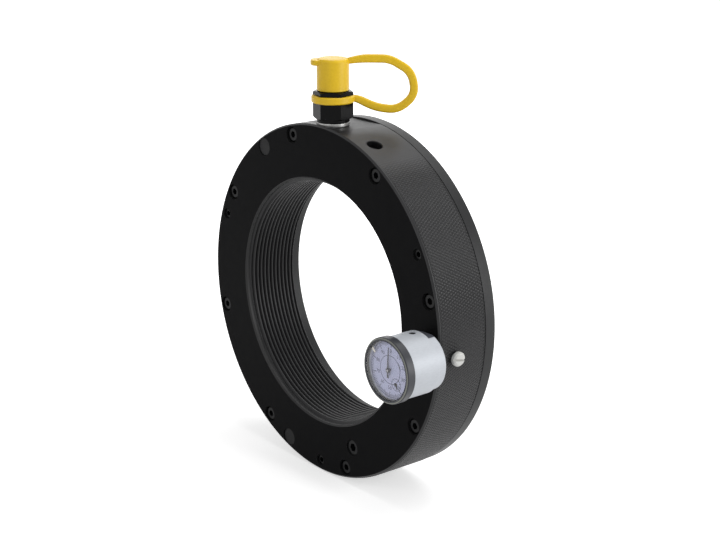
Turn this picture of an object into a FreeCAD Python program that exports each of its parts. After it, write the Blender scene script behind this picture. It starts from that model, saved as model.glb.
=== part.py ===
import FreeCAD, Part
import math
import os
import Sketcher

# Hydraulic nut with a thread for a 160 mm shaft: a steel ring with a piston in its rear side,
# an oil coupler under a dust cap on top, and a dial gauge that reads how far the piston has moved.
# Millimetres. The shaft's axis is Y, the piston moves to +Y and up is +Z. Depths are measured from the
# front face. At the end every node moves forward together, so that the origin lies just inside the thread.

os.makedirs("parts", exist_ok=True)
doc = FreeCAD.newDocument("hydraulic_nut")
V = FreeCAD.Vector

# Settable sizes. Words with "clock" are angles, and radii add up from the thread outwards.
SIZES = [
    # Shared clearances and how far cuts run past the face they leave by
    ("running_gap", 0.05),
    ("slip_gap", 0.05),
    ("pin_gap", 0.02),
    ("coil_gap", 0.1),
    ("floor_gap", 0.2),
    ("seat_gap", 0.3),
    ("loose_gap", 0.3),
    ("cut_over", 1.0),
    ("way_over", 2.0),
    # Nut body
    ("datum_depth", 6.0),
    ("body_length", 37.1),
    ("thread_radius", 78.4),
    ("mouth_relief", 1.85),
    ("mouth_edge", 1.0),
    ("mouth_depth", 4.5),
    ("mouth_run", 1.0),
    ("hub_wall", 6.2),
    ("hub_proud", 2.5),
    ("hub_edge", 1.8),
    ("chamber_width", 14.55),
    ("chamber_floor", 10.0),
    ("chamber_lip", 0.8),
    ("pitch_wall", 7.2),
    ("rim_wall", 6.8),
    ("rim_edge", 1.0),
    ("flat_cut", 1.4),
    ("flat_front", 5.0),
    ("flat_half", 26.0),
    # Piston ring with its glands
    ("stroke", 6.0),
    ("piston_stand", 1.0),
    ("piston_bevel", 3.0),
    ("skirt_edge", 1.0),
    ("gland_inset", 5.0),
    ("gland_width", 6.0),
    ("gland_depth", 3.0),
    ("gland_gap", 0.1),
    ("seal_width", 3.6),
    ("flange_thick", 9.4),
    ("flange_edge", 2.0),
    ("bore_relief", 1.85),
    ("bore_edge", 0.8),
    ("hub_gap", 0.4),
    # Return screws with their springs
    ("first_screw_clock", -14.2),
    ("screw_count", 8),
    ("screw_radius", 2.5),
    ("screw_edge", 0.6),
    ("head_radius", 4.25),
    ("head_height", 5.0),
    ("head_sunk", 1.2),
    ("head_edge", 0.5),
    ("head_socket", 2.31),
    ("head_socket_depth", 2.6),
    ("pocket_gap", 0.75),
    ("way_gap", 0.25),
    ("hold_floor", 1.4),
    ("hold_over", 0.4),
    ("spring_wire", 0.55),
    ("spring_turns", 4.5),
    ("spring_solid", 6.8),
    # Oil ports, bleed hole, set screws and spare gauge bores
    ("port_inset", 2.6),
    ("port_radius", 6.6),
    ("port_depth", 9.6),
    ("oil_way_radius", 1.5),
    ("side_port_clock", 20.6),
    ("side_port_radius", 4.9),
    ("side_port_depth", 9.5),
    ("side_plug_length", 5.0),
    ("bleed_clock", 159.1),
    ("bleed_inset", 8.45),
    ("bleed_radius", 5.0),
    ("bleed_floor", 3.5),
    ("bleed_sunk", 0.8),
    ("plug_edge", 0.4),
    ("plug_socket", 2.9),
    ("plug_socket_depth", 3.0),
    ("set_radius", 3.3),
    ("set_depth", 11.0),
    ("set_sunk", 1.2),
    ("set_socket", 1.9),
    ("set_cone", 1.4),
    ("set_tip", 1.6),
    ("set_clock_a", 60.8),
    ("set_clock_b", 179.7),
    ("set_clock_c", -69.0),
    ("spare_clock_a", -31.5),
    ("spare_clock_b", -161.9),
    ("spare_brim", 1.7),
    ("spare_depth", 3.0),
    ("spare_sunk", 0.5),
    ("spare_length", 12.0),
    # Oil coupler: heights above the flat add up from the washer
    ("washer_radius", 10.3),
    ("washer_height", 2.5),
    ("washer_lip", 0.8),
    ("washer_lift", 0.25),
    ("washer_edge", 0.25),
    ("spot_gap", 0.4),
    ("spigot_room", 0.6),
    ("spigot_edge", 0.8),
    ("collar_height", 2.0),
    ("hex_flats", 22.0),
    ("hex_clock", 44.0),
    ("hex_height", 9.9),
    ("hex_bevel", 4.4),
    ("hex_slope", 0.58),
    ("neck_cut", 1.4),
    ("neck_height", 4.8),
    ("brim_height", 2.6),
    ("nose_radius", 7.9),
    ("nose_height", 9.2),
    ("nose_run", 1.6),
    ("tip_cut", 1.7),
    ("tip_height", 7.6),
    ("tip_edge", 0.8),
    ("valve_bore", 4.2),
    ("valve_hole", 2.0),
    ("seat_drop", 3.0),
    ("seat_slope", 2.2),
    ("flare_width", 1.6),
    ("flare_depth", 2.4),
    ("retainer_hole", 1.8),
    ("retainer_low", 6.0),
    ("retainer_thick", 2.0),
    ("poppet_length", 6.0),
    ("poppet_pilot", 1.5),
    ("poppet_sunk", 1.2),
    ("valve_spring_mean", 2.75),
    ("valve_spring_wire", 0.4),
    ("valve_spring_turns", 6.0),
    # Dust cap, tether ring and strap
    ("cap_slip", 0.5),
    ("cap_wall", 1.6),
    ("cap_room", 1.0),
    ("cap_roof", 2.3),
    ("cap_shoulder", 1.4),
    ("cap_brow", 0.4),
    ("cap_brow_cut", 0.5),
    ("cap_dome_cut", 1.8),
    ("tab_half", 6.0),
    ("tab_rise", 3.8),
    ("tab_root", 3.4),
    ("tab_drop", 0.8),
    ("tab_height", 3.4),
    ("tether_clock", 39.2),
    ("ring_wall", 3.6),
    ("ring_edge", 0.8),
    ("strap_half_deep", 2.5),
    ("strap_half_wide", 2.0),
    ("strap_corner", 1.0),
    ("strap_drop", 1.0),
    ("strap_lift", 2.4),
    ("strap_tilt_gap", 1.1),
    # Dial gauge: distances forwards from the nut's front face, radii from the case
    ("gauge_clock", 93.9),
    ("stem_radius", 4.0),
    ("stem_seat", 26.0),
    ("stem_flange", 2.5),
    ("stem_flange_thick", 1.95),
    ("stem_nut", 3.0),
    ("stem_nut_gap", 0.1),
    ("case_radius", 19.0),
    ("case_wall", 1.8),
    ("case_stand", 3.0),
    ("case_waist", 7.0),
    ("case_waist_run", 0.6),
    ("case_floor", 3.0),
    ("case_recess", 3.6),
    ("case_length", 19.0),
    ("waist_cut", 1.0),
    ("waist_edge", 1.3),
    ("waist_flat", 1.8),
    ("waist_flat_half", 12.0),
    ("spigot_wall", 1.0),
    ("spigot_length", 2.4),
    ("case_hole_inset", 5.0),
    ("case_hole_radius", 2.2),
    ("case_plug_sunk", 0.7),
    ("bezel_proud", 0.85),
    ("bezel_height", 6.0),
    ("bezel_lip", 0.1),
    ("bezel_bevel", 1.2),
    ("bezel_bevel_cut", 0.8),
    ("bezel_lip_bevel", 0.5),
    ("bezel_lip_cut", 0.3),
    ("crystal_stand", 4.0),
    ("crystal_brim", 1.2),
    ("crystal_brim_cut", 1.0),
    ("crystal_wall", 0.7),
    ("crystal_dome", 0.9),
    ("crystal_seat_wall", 1.2),
    ("crystal_seat_thick", 0.95),
    ("dial_stand", 1.0),
    ("dial_thick", 0.6),
    ("dial_slip", 0.2),
    ("counter_seat_clock", 145.6),
    ("counter_margin", 8.0),
    ("pointer_stand", 1.8),
    ("pointer_thick", 0.4),
    ("pointer_margin", 3.4),
    ("pointer_tail", 4.6),
    ("pointer_hub", 1.5),
    ("pointer_root", 0.45),
    ("pointer_tip", 0.15),
    ("counter_stand", 0.7),
    ("counter_thick", 0.3),
    ("counter_length", 2.9),
    ("counter_tail", 1.2),
    ("counter_hub", 0.9),
    ("counter_root", 0.3),
    ("counter_tip", 0.1),
    ("counter_clock", 150.0),
    ("marker_clock", -52.0),
    ("marker_stand", 0.1),
    ("marker_thick", 0.4),
    ("marker_length", 3.2),
    ("marker_half", 0.9),
    ("marker_tip", 0.5),
    # Movement of the gauge
    ("spacer_depth", 1.1),
    ("spacer_wall", 2.1),
    ("plate_slip", 0.4),
    ("plate_thick", 0.8),
    ("plate_overlap", 0.3),
    ("plate_eye", 3.0),
    ("pillar_inset", 2.8),
    ("pillar_radius", 1.3),
    ("pillar_clock_a", -20.0),
    ("pillar_clock_b", 100.0),
    ("pillar_clock_c", 215.0),
    ("cheek_inner", 5.2),
    ("cheek_thick", 1.2),
    ("cheek_half", 2.5),
    ("cheek_room", 0.2),
    ("rack_stand", 10.1),
    ("arbor_radius", 0.5),
    ("arbor_over", 0.4),
    ("rack_pinion_radius", 1.6),
    ("rack_pinion_half", 1.5),
    ("crown_gap", 0.2),
    ("crown_stand", 0.4),
    ("crown_thick", 0.8),
    ("pointer_arbor_radius", 0.6),
    ("pointer_pinion_radius", 2.0),
    ("pointer_pinion_length", 3.2),
    ("pinion_stand", 0.5),
    ("wheel_thick", 0.8),
    ("plunger_radius", 2.0),
    ("plunger_over", 4.0),
    ("tip_radius", 2.5),
    ("tip_length", 4.05),
    ("tip_round", 2.1),
    ("tip_way_gap", 0.7),
    ("guide_stand", 0.7),
    ("guide_radius", 0.6),
    ("guide_reach", 6.5),
    ("guide_root", 1.0),
    ("plunger_spring_reach", 4.4),
    ("plunger_spring_mean", 1.2),
    ("plunger_spring_wire", 0.22),
    ("plunger_spring_turns", 7.0),
    # Nylon clamp screw
    ("clamp_radius", 2.5),
    ("clamp_tip_edge", 0.5),
    ("clamp_neck", 1.6),
    ("clamp_head_brim", 2.3),
    ("clamp_head_height", 3.6),
    ("clamp_head_edge", 0.3),
    ("clamp_head_round", 0.8),
    ("clamp_slot", 1.3),
    ("clamp_slot_depth", 1.5),
]
sheet = doc.addObject("Spreadsheet::Sheet", "sizes")
for row, (word, amount) in enumerate(SIZES, 1):
    sheet.set("A%d" % row, word)
    sheet.set("B%d" % row, str(amount))
    sheet.setAlias("B%d" % row, word)
doc.recompute()


class Size:
    """A number together with the sheet expression that gives it."""
    def __init__(self, value, text):
        self.value = float(value)
        self.text = text

    def __add__(self, other):
        other = size(other)
        return Size(self.value + other.value, "(%s + %s)" % (self.text, other.text))

    def __sub__(self, other):
        other = size(other)
        return Size(self.value - other.value, "(%s - %s)" % (self.text, other.text))

    def __mul__(self, other):
        other = size(other)
        return Size(self.value * other.value, "(%s * %s)" % (self.text, other.text))

    def __neg__(self):
        return Size(-self.value, "(0 - %s)" % self.text)


def size(thing):
    """A Size from a Size, from a word in the sheet or from a plain number."""
    if isinstance(thing, Size):
        return thing
    if isinstance(thing, str):
        return Size(sheet.get(thing), "sizes.%s" % thing)
    return Size(thing, repr(float(thing)))


def num(thing):
    return size(thing).value


NODES = []


def body(name, place=None):
    """An empty body that will be written as one node."""
    made = doc.addObject("PartDesign::Body", name)
    made.Label = name
    if place is not None:
        made.Placement = place
    NODES.append(made)
    return made


def sketch(owner, name, role, offset=None):
    """A sketch on one of the body's own origin planes."""
    made = owner.newObject("Sketcher::SketchObject", name)
    plane = [f for f in owner.Origin.OriginFeatures if f.Role == role][0]
    made.AttachmentSupport = [(plane, "")]
    made.MapMode = "FlatFace"
    if offset is not None:
        made.AttachmentOffset = offset
    return made


def pin_point(made, geo, pos, across, up):
    """Hold one vertex of a sketch at a place given by the sheet."""
    across = size(across)
    up = size(up)
    first = made.addConstraint(Sketcher.Constraint("DistanceX", -1, 1, geo, pos, across.value))
    made.setExpression("Constraints[%d]" % first, across.text)
    second = made.addConstraint(Sketcher.Constraint("DistanceY", -1, 1, geo, pos, up.value))
    made.setExpression("Constraints[%d]" % second, up.text)


def outline(made, points):
    """A closed outline of straight lines through the given points."""
    count = len(points)
    ends = [V(num(a), num(b), 0) for a, b in points]
    lines = []
    for i in range(count):
        lines.append(made.addGeometry(Part.LineSegment(ends[i], ends[(i + 1) % count]), False))
    for i in range(count):
        made.addConstraint(Sketcher.Constraint("Coincident", lines[i], 2, lines[(i + 1) % count], 1))
    for i in range(count):
        pin_point(made, lines[i], 1, points[i][0], points[i][1])


def ring(made, across, up, radius):
    """A circle with its centre and radius held by the sheet."""
    radius = size(radius)
    geo = made.addGeometry(Part.Circle(V(num(across), num(up), 0), V(0, 0, 1), radius.value), False)
    pin_point(made, geo, 3, across, up)
    hold = made.addConstraint(Sketcher.Constraint("Radius", geo, radius.value))
    made.setExpression("Constraints[%d]" % hold, radius.text)


def turned(owner, name, points, role="XY_Plane", groove=False):
    """A revolved shape round the sketch's upright axis, added to the body or cut from it."""
    made = sketch(owner, name + "_outline", role)
    outline(made, points)
    kind = "PartDesign::Groove" if groove else "PartDesign::Revolution"
    feature = owner.newObject(kind, name)
    feature.Profile = made
    feature.ReferenceAxis = (made, ["V_Axis"])
    feature.Angle = 360.0
    return feature


def raised(owner, name, made, length, back=False, both=False):
    feature = owner.newObject("PartDesign::Pad", name)
    feature.Profile = made
    feature.Length = num(length)
    feature.setExpression("Length", size(length).text)
    feature.Reversed = back
    feature.Midplane = both
    return feature


def sunk(owner, name, made, length, back=False, both=False):
    feature = owner.newObject("PartDesign::Pocket", name)
    feature.Profile = made
    feature.Length = num(length)
    feature.setExpression("Length", size(length).text)
    feature.Reversed = back
    feature.Midplane = both
    return feature


def round_pocket(owner, name, role, offset, across, up, radius, length, back=False):
    made = sketch(owner, name + "_ring", role, offset)
    ring(made, across, up, radius)
    return sunk(owner, name, made, length, back)


def six_points(reach, turn=0.0):
    """Corners of a hexagon whose corners lie at the given reach."""
    reach = size(reach)
    found = []
    for i in range(6):
        angle = math.radians(turn + 60.0 * i)
        found.append((reach * math.cos(angle), reach * math.sin(angle)))
    return found


def six_pocket(owner, name, role, offset, reach, length, turn=0.0, back=False, across=0.0, up=0.0):
    made = sketch(owner, name + "_six", role, offset)
    outline(made, [(a + across, b + up) for a, b in six_points(reach, turn)])
    return sunk(owner, name, made, length, back)


def at_depth(depth):
    """Offset of a sketch on the XZ plane to y = depth; that plane's normal points to -Y."""
    return FreeCAD.Placement(V(0, 0, -num(depth)), FreeCAD.Rotation())


def at_height(height):
    return FreeCAD.Placement(V(0, 0, num(height)), FreeCAD.Rotation())


def radial(clock, reach, depth=0.0):
    """Placement whose Z axis points outwards at a clock angle, its origin at that reach."""
    angle = math.radians(num(clock))
    spot = V(num(reach) * math.sin(angle), num(depth), num(reach) * math.cos(angle))
    return FreeCAD.Placement(spot, FreeCAD.Rotation(V(0, 1, 0), num(clock)))


def on_face(clock, reach):
    """Sketch coordinates on the front face of a place at a clock angle."""
    angle = math.radians(num(clock))
    return size(reach) * math.sin(angle), size(reach) * math.cos(angle)


def spring_wire(radius, wire, turns, length, place):
    """A coil spring as one solid of short mitred runs of six-sided wire, its axis along the placement's Z."""
    runs = 10
    pitch = (length - 2.0 * wire) / turns
    points = []
    for i in range(int(round(runs * turns)) + 1):
        angle = 2.0 * math.pi * i / runs
        points.append(V(radius * math.cos(angle), radius * math.sin(angle), wire + pitch * i / runs))
    along = points[1] - points[0]
    along.normalize()
    out = V(1, 0, 0) - along * along.x
    out.normalize()
    side = along.cross(out)
    corners = []
    for i in range(6):
        angle = math.radians(60.0 * i)
        corners.append(points[0] + out * (wire * math.cos(angle)) + side * (wire * math.sin(angle)))
    section = Part.makePolygon(corners + corners[:1])
    solid = Part.makePolygon(points).makePipeShell([section], True, False, 1)
    solid.Placement = place.multiply(solid.Placement)
    return solid


def group(name, shapes):
    """A node made of several alike solids."""
    made = doc.addObject("Part::Feature", name)
    made.Label = name
    made.Shape = Part.makeCompound(shapes)
    NODES.append(made)
    return made


# Radii from the thread outwards, and the depths that follow from the nut's length
mouth_radius = size("thread_radius") + "mouth_relief"
chamber_inner = mouth_radius + "hub_wall"
chamber_outer = chamber_inner + "chamber_width"
pitch_radius = chamber_outer + "pitch_wall"
rim_radius = pitch_radius + "rim_wall"
flat_height = rim_radius - "flat_cut"
hub_length = size("body_length") + "hub_proud"
flange_front = size("body_length") + "seat_gap"
piston_rear = flange_front + "flange_thick"
port_y = size("chamber_floor") + "port_inset"
through = size("body_length") + "cut_over"
above_rim = rim_radius + "cut_over"
head_low = size("head_sunk") + "head_height"
pocket_depth = head_low + "stroke" + "spring_solid"

# The nut's body: ring, hub with the bore for the thread, and the piston's chamber
nut = body("nut_body")
turned(nut, "nut_ring", [
    (mouth_radius + "mouth_edge", 0.0),
    (rim_radius - "rim_edge", 0.0),
    (rim_radius, "rim_edge"),
    (rim_radius, "body_length"),
    (chamber_outer + "chamber_lip", "body_length"),
    (chamber_outer, size("body_length") - "chamber_lip"),
    (chamber_outer, "chamber_floor"),
    (chamber_inner, "chamber_floor"),
    (chamber_inner, hub_length),
    (size("thread_radius") + "hub_edge", hub_length),
    ("thread_radius", hub_length - "hub_edge"),
    ("thread_radius", size("mouth_depth") + "mouth_run"),
    (mouth_radius, "mouth_depth"),
    (mouth_radius, "mouth_edge"),
])

# The milled flat under the coupler, closed at the front by a narrow land
flat_sketch = sketch(nut, "flat_outline", "XY_Plane", at_height(flat_height))
outline(flat_sketch, [
    (-size("flat_half"), "flat_front"),
    ("flat_half", "flat_front"),
    ("flat_half", through),
    (-size("flat_half"), through),
])
sunk(nut, "coupler_flat", flat_sketch, size("flat_cut") + "cut_over", True)

# Pockets and ways for the return screws
screw_x, screw_z = on_face("first_screw_clock", pitch_radius)
pocket_sketch = sketch(nut, "screw_pocket_ring", "XZ_Plane")
ring(pocket_sketch, screw_x, screw_z, size("head_radius") + "pocket_gap")
screw_pocket = sunk(nut, "screw_pocket", pocket_sketch, pocket_depth)
way_sketch = sketch(nut, "screw_way_ring", "XZ_Plane")
ring(way_sketch, screw_x, screw_z, size("screw_radius") + "way_gap")
screw_way = sunk(nut, "screw_way", way_sketch, through)
screw_pattern = nut.newObject("PartDesign::PolarPattern", "screw_pattern")
screw_pattern.Originals = [screw_pocket, screw_way]
screw_pattern.Axis = (pocket_sketch, ["N_Axis"])
screw_pattern.Angle = 360.0
screw_pattern.Occurrences = int(num("screw_count"))
screw_pattern.setExpression("Occurrences", "sizes.screw_count")
nut.Tip = screw_pattern

# Round seat of the coupler's washer, cut a little way into the front land
round_pocket(nut, "washer_seat", "XY_Plane", at_height(above_rim), 0.0, port_y,
             size("washer_radius") + "spot_gap", above_rim - flat_height)

# Oil port of the coupler and its way into the chamber
round_pocket(nut, "oil_port", "XY_Plane", at_height(flat_height), 0.0, port_y, "port_radius", "port_depth")
round_pocket(nut, "oil_way", "XY_Plane", at_height(flat_height), 0.0, port_y, "oil_way_radius",
             flat_height - chamber_outer + "way_over")

# Second oil port in the rim, closed by a sunk plug
side_place = radial("side_port_clock", rim_radius)
round_pocket(nut, "side_port", "XY_Plane", side_place, 0.0, port_y, "side_port_radius", "side_port_depth")
round_pocket(nut, "side_way", "XY_Plane", side_place, 0.0, port_y, "oil_way_radius",
             rim_radius - chamber_outer + "way_over")

# Bleed hole from the front face into the chamber
bleed_x, bleed_z = on_face("bleed_clock", chamber_inner + "bleed_inset")
bleed_depth = size("chamber_floor") - "bleed_floor"
round_pocket(nut, "bleed_hole", "XZ_Plane", None, bleed_x, bleed_z, "bleed_radius", bleed_depth)
round_pocket(nut, "bleed_way", "XZ_Plane", None, bleed_x, bleed_z, "oil_way_radius",
             size("chamber_floor") + "cut_over")

# Holes of the three small set screws
set_sketch = sketch(nut, "set_rings", "XZ_Plane")
for clock in ("set_clock_a", "set_clock_b", "set_clock_c"):
    spot_x, spot_z = on_face(clock, pitch_radius)
    ring(set_sketch, spot_x, spot_z, "set_radius")
sunk(nut, "set_holes", set_sketch, "set_depth")

# The gauge's bore and two spare ones, right through the outer wall to the piston's flange
stem_sketch = sketch(nut, "stem_rings", "XZ_Plane")
tip_sketch = sketch(nut, "tip_rings", "XZ_Plane")
for clock in ("gauge_clock", "spare_clock_a", "spare_clock_b"):
    spot_x, spot_z = on_face(clock, pitch_radius)
    ring(stem_sketch, spot_x, spot_z, size("stem_radius") + "slip_gap")
    ring(tip_sketch, spot_x, spot_z, size("tip_radius") + "tip_way_gap")
sunk(nut, "stem_bores", stem_sketch, "stem_seat")
sunk(nut, "tip_ways", tip_sketch, through)
spare_sketch = sketch(nut, "spare_rings", "XZ_Plane")
spare_radius = size("stem_radius") + "spare_brim"
for clock in ("spare_clock_a", "spare_clock_b"):
    spot_x, spot_z = on_face(clock, pitch_radius)
    ring(spare_sketch, spot_x, spot_z, spare_radius + "slip_gap")
sunk(nut, "spare_mouths", spare_sketch, "spare_depth")

# Hole of the nylon clamp screw, from the rim to the gauge's bore
round_pocket(nut, "clamp_hole", "XY_Plane", radial("gauge_clock", rim_radius), 0.0, port_y,
             size("clamp_radius") + "slip_gap", rim_radius - pitch_radius - "cut_over")

# The piston: a skirt that fills the chamber and a flange that presses on the bearing
piston = body("piston_ring")
piston_front = size("chamber_floor") + "piston_stand"
piston_bore = mouth_radius + "bore_relief"
skirt_out = chamber_outer - "running_gap"
skirt_in = chamber_inner + "running_gap"
gland_front = piston_front + "gland_inset"
gland_end = gland_front + "gland_width"
turned(piston, "piston_shape", [
    (skirt_in + "skirt_edge", piston_front),
    (skirt_out - "piston_bevel", piston_front),
    (skirt_out, piston_front + "piston_bevel"),
    (skirt_out, gland_front),
    (skirt_out - "gland_depth", gland_front),
    (skirt_out - "gland_depth", gland_end),
    (skirt_out, gland_end),
    (skirt_out, flange_front),
    (rim_radius, flange_front),
    (rim_radius, piston_rear - "flange_edge"),
    (rim_radius - "flange_edge", piston_rear),
    (piston_bore + "bore_edge", piston_rear),
    (piston_bore, piston_rear - "bore_edge"),
    (piston_bore, hub_length + "hub_gap"),
    (skirt_in, hub_length + "hub_gap"),
    (skirt_in, gland_end),
    (skirt_in + "gland_depth", gland_end),
    (skirt_in + "gland_depth", gland_front),
    (skirt_in, gland_front),
    (skirt_in, piston_front + "skirt_edge"),
])
screw_hold = size("flange_thick") - "hold_floor"
hold_sketch = sketch(piston, "screw_hold_ring", "XZ_Plane", at_depth(flange_front))
ring(hold_sketch, screw_x, screw_z, size("screw_radius") + "slip_gap")
hold_hole = sunk(piston, "screw_hold_hole", hold_sketch, screw_hold + "hold_over")
hold_pattern = piston.newObject("PartDesign::PolarPattern", "screw_hold_pattern")
hold_pattern.Originals = [hold_hole]
hold_pattern.Axis = (hold_sketch, ["N_Axis"])
hold_pattern.Angle = 360.0
hold_pattern.Occurrences = int(num("screw_count"))
hold_pattern.setExpression("Occurrences", "sizes.screw_count")
piston.Tip = hold_pattern

# Seals and back-up rings in the piston's two glands
seal_low = gland_front + "gland_gap"
seal_high = seal_low + "seal_width"
backup_low = seal_high + "slip_gap"
backup_high = gland_end - "gland_gap"
outer_floor = skirt_out - "gland_depth" + "slip_gap"
inner_floor = skirt_in + "gland_depth" - "slip_gap"
for name, inner, outer, low, high in (
        ("outer_seal", outer_floor, skirt_out, seal_low, seal_high),
        ("outer_backup_ring", outer_floor, skirt_out, backup_low, backup_high),
        ("inner_seal", skirt_in, inner_floor, seal_low, seal_high),
        ("inner_backup_ring", skirt_in, inner_floor, backup_low, backup_high)):
    seal = body(name)
    turned(seal, name + "_shape", [(inner, low), (outer, low), (outer, high), (inner, high)])

# Return screws: they go through the nut's wall into the piston's flange and limit its stroke
screw_tail = flange_front + screw_hold
one_screw = doc.addObject("PartDesign::Body", "one_screw")
turned(one_screw, "screw_shape", [
    (0.0, "head_sunk"),
    (size("head_radius") - "head_edge", "head_sunk"),
    ("head_radius", size("head_sunk") + "head_edge"),
    ("head_radius", head_low),
    ("screw_radius", head_low),
    ("screw_radius", screw_tail - "screw_edge"),
    (size("screw_radius") - "screw_edge", screw_tail),
    (0.0, screw_tail),
])
six_pocket(one_screw, "head_socket_cut", "XZ_Plane", at_depth("head_sunk"), "head_socket", "head_socket_depth")
doc.recompute()


def copies_on_circle(shape, clocks):
    """Copies of a shape on the pitch circle, each turned to its own clock angle."""
    found = []
    for clock in clocks:
        spot = radial(clock, pitch_radius)
        found.append(shape.transformed(spot.toMatrix()))
    return found


screw_step = 360.0 / num("screw_count")
SCREW_CLOCKS = [num("first_screw_clock") + screw_step * i for i in range(int(num("screw_count")))]
group("return_screws", copies_on_circle(one_screw.Shape, SCREW_CLOCKS))

# Return springs under the screw heads, wound to the heads' own width
spring_start = num(head_low + "coil_gap")
spring_span = num(pocket_depth - "coil_gap") - spring_start
along_y = FreeCAD.Placement(V(0, spring_start, 0), FreeCAD.Rotation(V(1, 0, 0), -90))
one_spring = spring_wire(num(size("head_radius") - "spring_wire"), num("spring_wire"), num("spring_turns"),
                         spring_span, along_y)
group("return_springs", copies_on_circle(one_spring, SCREW_CLOCKS))

# Plug of the bleed hole
bleed = body("bleed_plug")
bleed_fit = size("bleed_radius") - "slip_gap"
turned(bleed, "bleed_shape", [
    (0.0, "bleed_sunk"),
    (bleed_fit - "head_edge", "bleed_sunk"),
    (bleed_fit, size("bleed_sunk") + "head_edge"),
    (bleed_fit, bleed_depth - "floor_gap"),
    (0.0, bleed_depth - "floor_gap"),
])
six_pocket(bleed, "bleed_socket", "XZ_Plane", at_depth("bleed_sunk"), "plug_socket", "plug_socket_depth")
bleed.Placement = FreeCAD.Placement(V(num(bleed_x), 0, num(bleed_z)), FreeCAD.Rotation())

# Plug of the side port, low in its hole
plug_base = -(size("side_port_depth") - "floor_gap")
plug_top = plug_base + "side_plug_length"
side_fit = size("side_port_radius") - "slip_gap"
side_plug = body("side_port_plug", radial("side_port_clock", rim_radius, port_y))
turned(side_plug, "side_plug_shape", [
    (0.0, plug_base),
    (side_fit, plug_base),
    (side_fit, plug_top - "plug_edge"),
    (side_fit - "plug_edge", plug_top),
    (0.0, plug_top),
], "XZ_Plane")
six_pocket(side_plug, "side_plug_socket", "XY_Plane", at_height(plug_top), "plug_socket", "plug_socket_depth")

# Small set screws with cone points
one_set = doc.addObject("PartDesign::Body", "one_set_screw")
set_fit = size("set_radius") - "slip_gap"
set_end = size("set_depth") - "floor_gap"
turned(one_set, "set_shape", [
    (0.0, "set_sunk"),
    (set_fit - "plug_edge", "set_sunk"),
    (set_fit, size("set_sunk") + "plug_edge"),
    (set_fit, set_end - "set_cone"),
    ("set_tip", set_end),
    (0.0, set_end),
])
six_pocket(one_set, "set_socket_cut", "XZ_Plane", at_depth("set_sunk"), "set_socket", "plug_socket_depth")
doc.recompute()
SET_CLOCKS = [num("set_clock_a"), num("set_clock_b"), num("set_clock_c")]
group("set_screws", copies_on_circle(one_set.Shape, SET_CLOCKS))

# Plugs of the two spare gauge bores
one_spare = doc.addObject("PartDesign::Body", "one_spare_plug")
spare_seat = size("spare_depth") - "slip_gap"
turned(one_spare, "spare_shape", [
    (0.0, "spare_sunk"),
    (spare_radius - "plug_edge", "spare_sunk"),
    (spare_radius, size("spare_sunk") + "plug_edge"),
    (spare_radius, spare_seat),
    ("stem_radius", spare_seat),
    ("stem_radius", size("spare_length") - "screw_edge"),
    (size("stem_radius") - "screw_edge", "spare_length"),
    (0.0, "spare_length"),
])
doc.recompute()
SPARE_CLOCKS = [num("spare_clock_a"), num("spare_clock_b")]
group("spare_bore_plugs", copies_on_circle(one_spare.Shape, SPARE_CLOCKS))

# Oil coupler, standing on the flat with a bonded washer. Its heights are measured from the flat.
coupler_place = FreeCAD.Placement(V(0, num(port_y), num(flat_height)), FreeCAD.Rotation())
nipple = body("coupler_nipple", coupler_place)
spigot = size("port_radius") - "slip_gap"
spigot_end = -(size("port_depth") - "spigot_room")
collar_radius = size("washer_radius") + "slip_gap"
collar_top = size("washer_height") + "collar_height"
hex_top = collar_top + "hex_height"
hex_half = size("hex_flats") * 0.5
neck_radius = hex_half - "neck_cut"
neck_top = hex_top + "neck_height"
brim_top = neck_top + "brim_height"
nose_step = brim_top + "nose_height"
nose_top = nose_step + "tip_height"
nose_tip = size("nose_radius") - "tip_cut"
seat_low = nose_step - "seat_drop"
turned(nipple, "nipple_shape", [
    ("valve_bore", spigot_end),
    (spigot - "spigot_edge", spigot_end),
    (spigot, spigot_end + "spigot_edge"),
    (spigot, "washer_height"),
    (collar_radius, "washer_height"),
    (collar_radius, hex_top),
    (neck_radius, hex_top),
    (neck_radius, neck_top),
    (hex_half, neck_top),
    (hex_half, brim_top),
    ("nose_radius", brim_top),
    ("nose_radius", nose_step),
    (nose_tip, nose_step + "nose_run"),
    (nose_tip, nose_top - "tip_edge"),
    (nose_tip - "tip_edge", nose_top),
    (size("valve_hole") + "flare_width", nose_top),
    ("valve_hole", nose_top - "flare_depth"),
    ("valve_hole", seat_low + "seat_slope"),
    ("valve_bore", seat_low),
], "XZ_Plane")
hex_reach = size("hex_flats") * (1.0 / math.sqrt(3.0))
for name, low, high in (("hex_body", collar_top, hex_top), ("hex_brim", neck_top, brim_top)):
    made = sketch(nipple, name + "_outline", "XY_Plane", at_height(low))
    outline(made, six_points(hex_reach, num("hex_clock")))
    ring(made, 0.0, 0.0, "valve_bore")
    raised(nipple, name, made, high - low)
# Turned bevels take the corners off both hexagons
bevel_reach = hex_half + "hex_bevel"
bevel_rise = size("hex_bevel") * "hex_slope"
turned(nipple, "hex_low_bevel", [
    (hex_half, collar_top),
    (bevel_reach, collar_top),
    (bevel_reach, collar_top + bevel_rise),
], "XZ_Plane", True)
turned(nipple, "hex_high_bevel", [
    (hex_half, brim_top),
    (bevel_reach, brim_top),
    (bevel_reach, brim_top - bevel_rise),
], "XZ_Plane", True)

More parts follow.
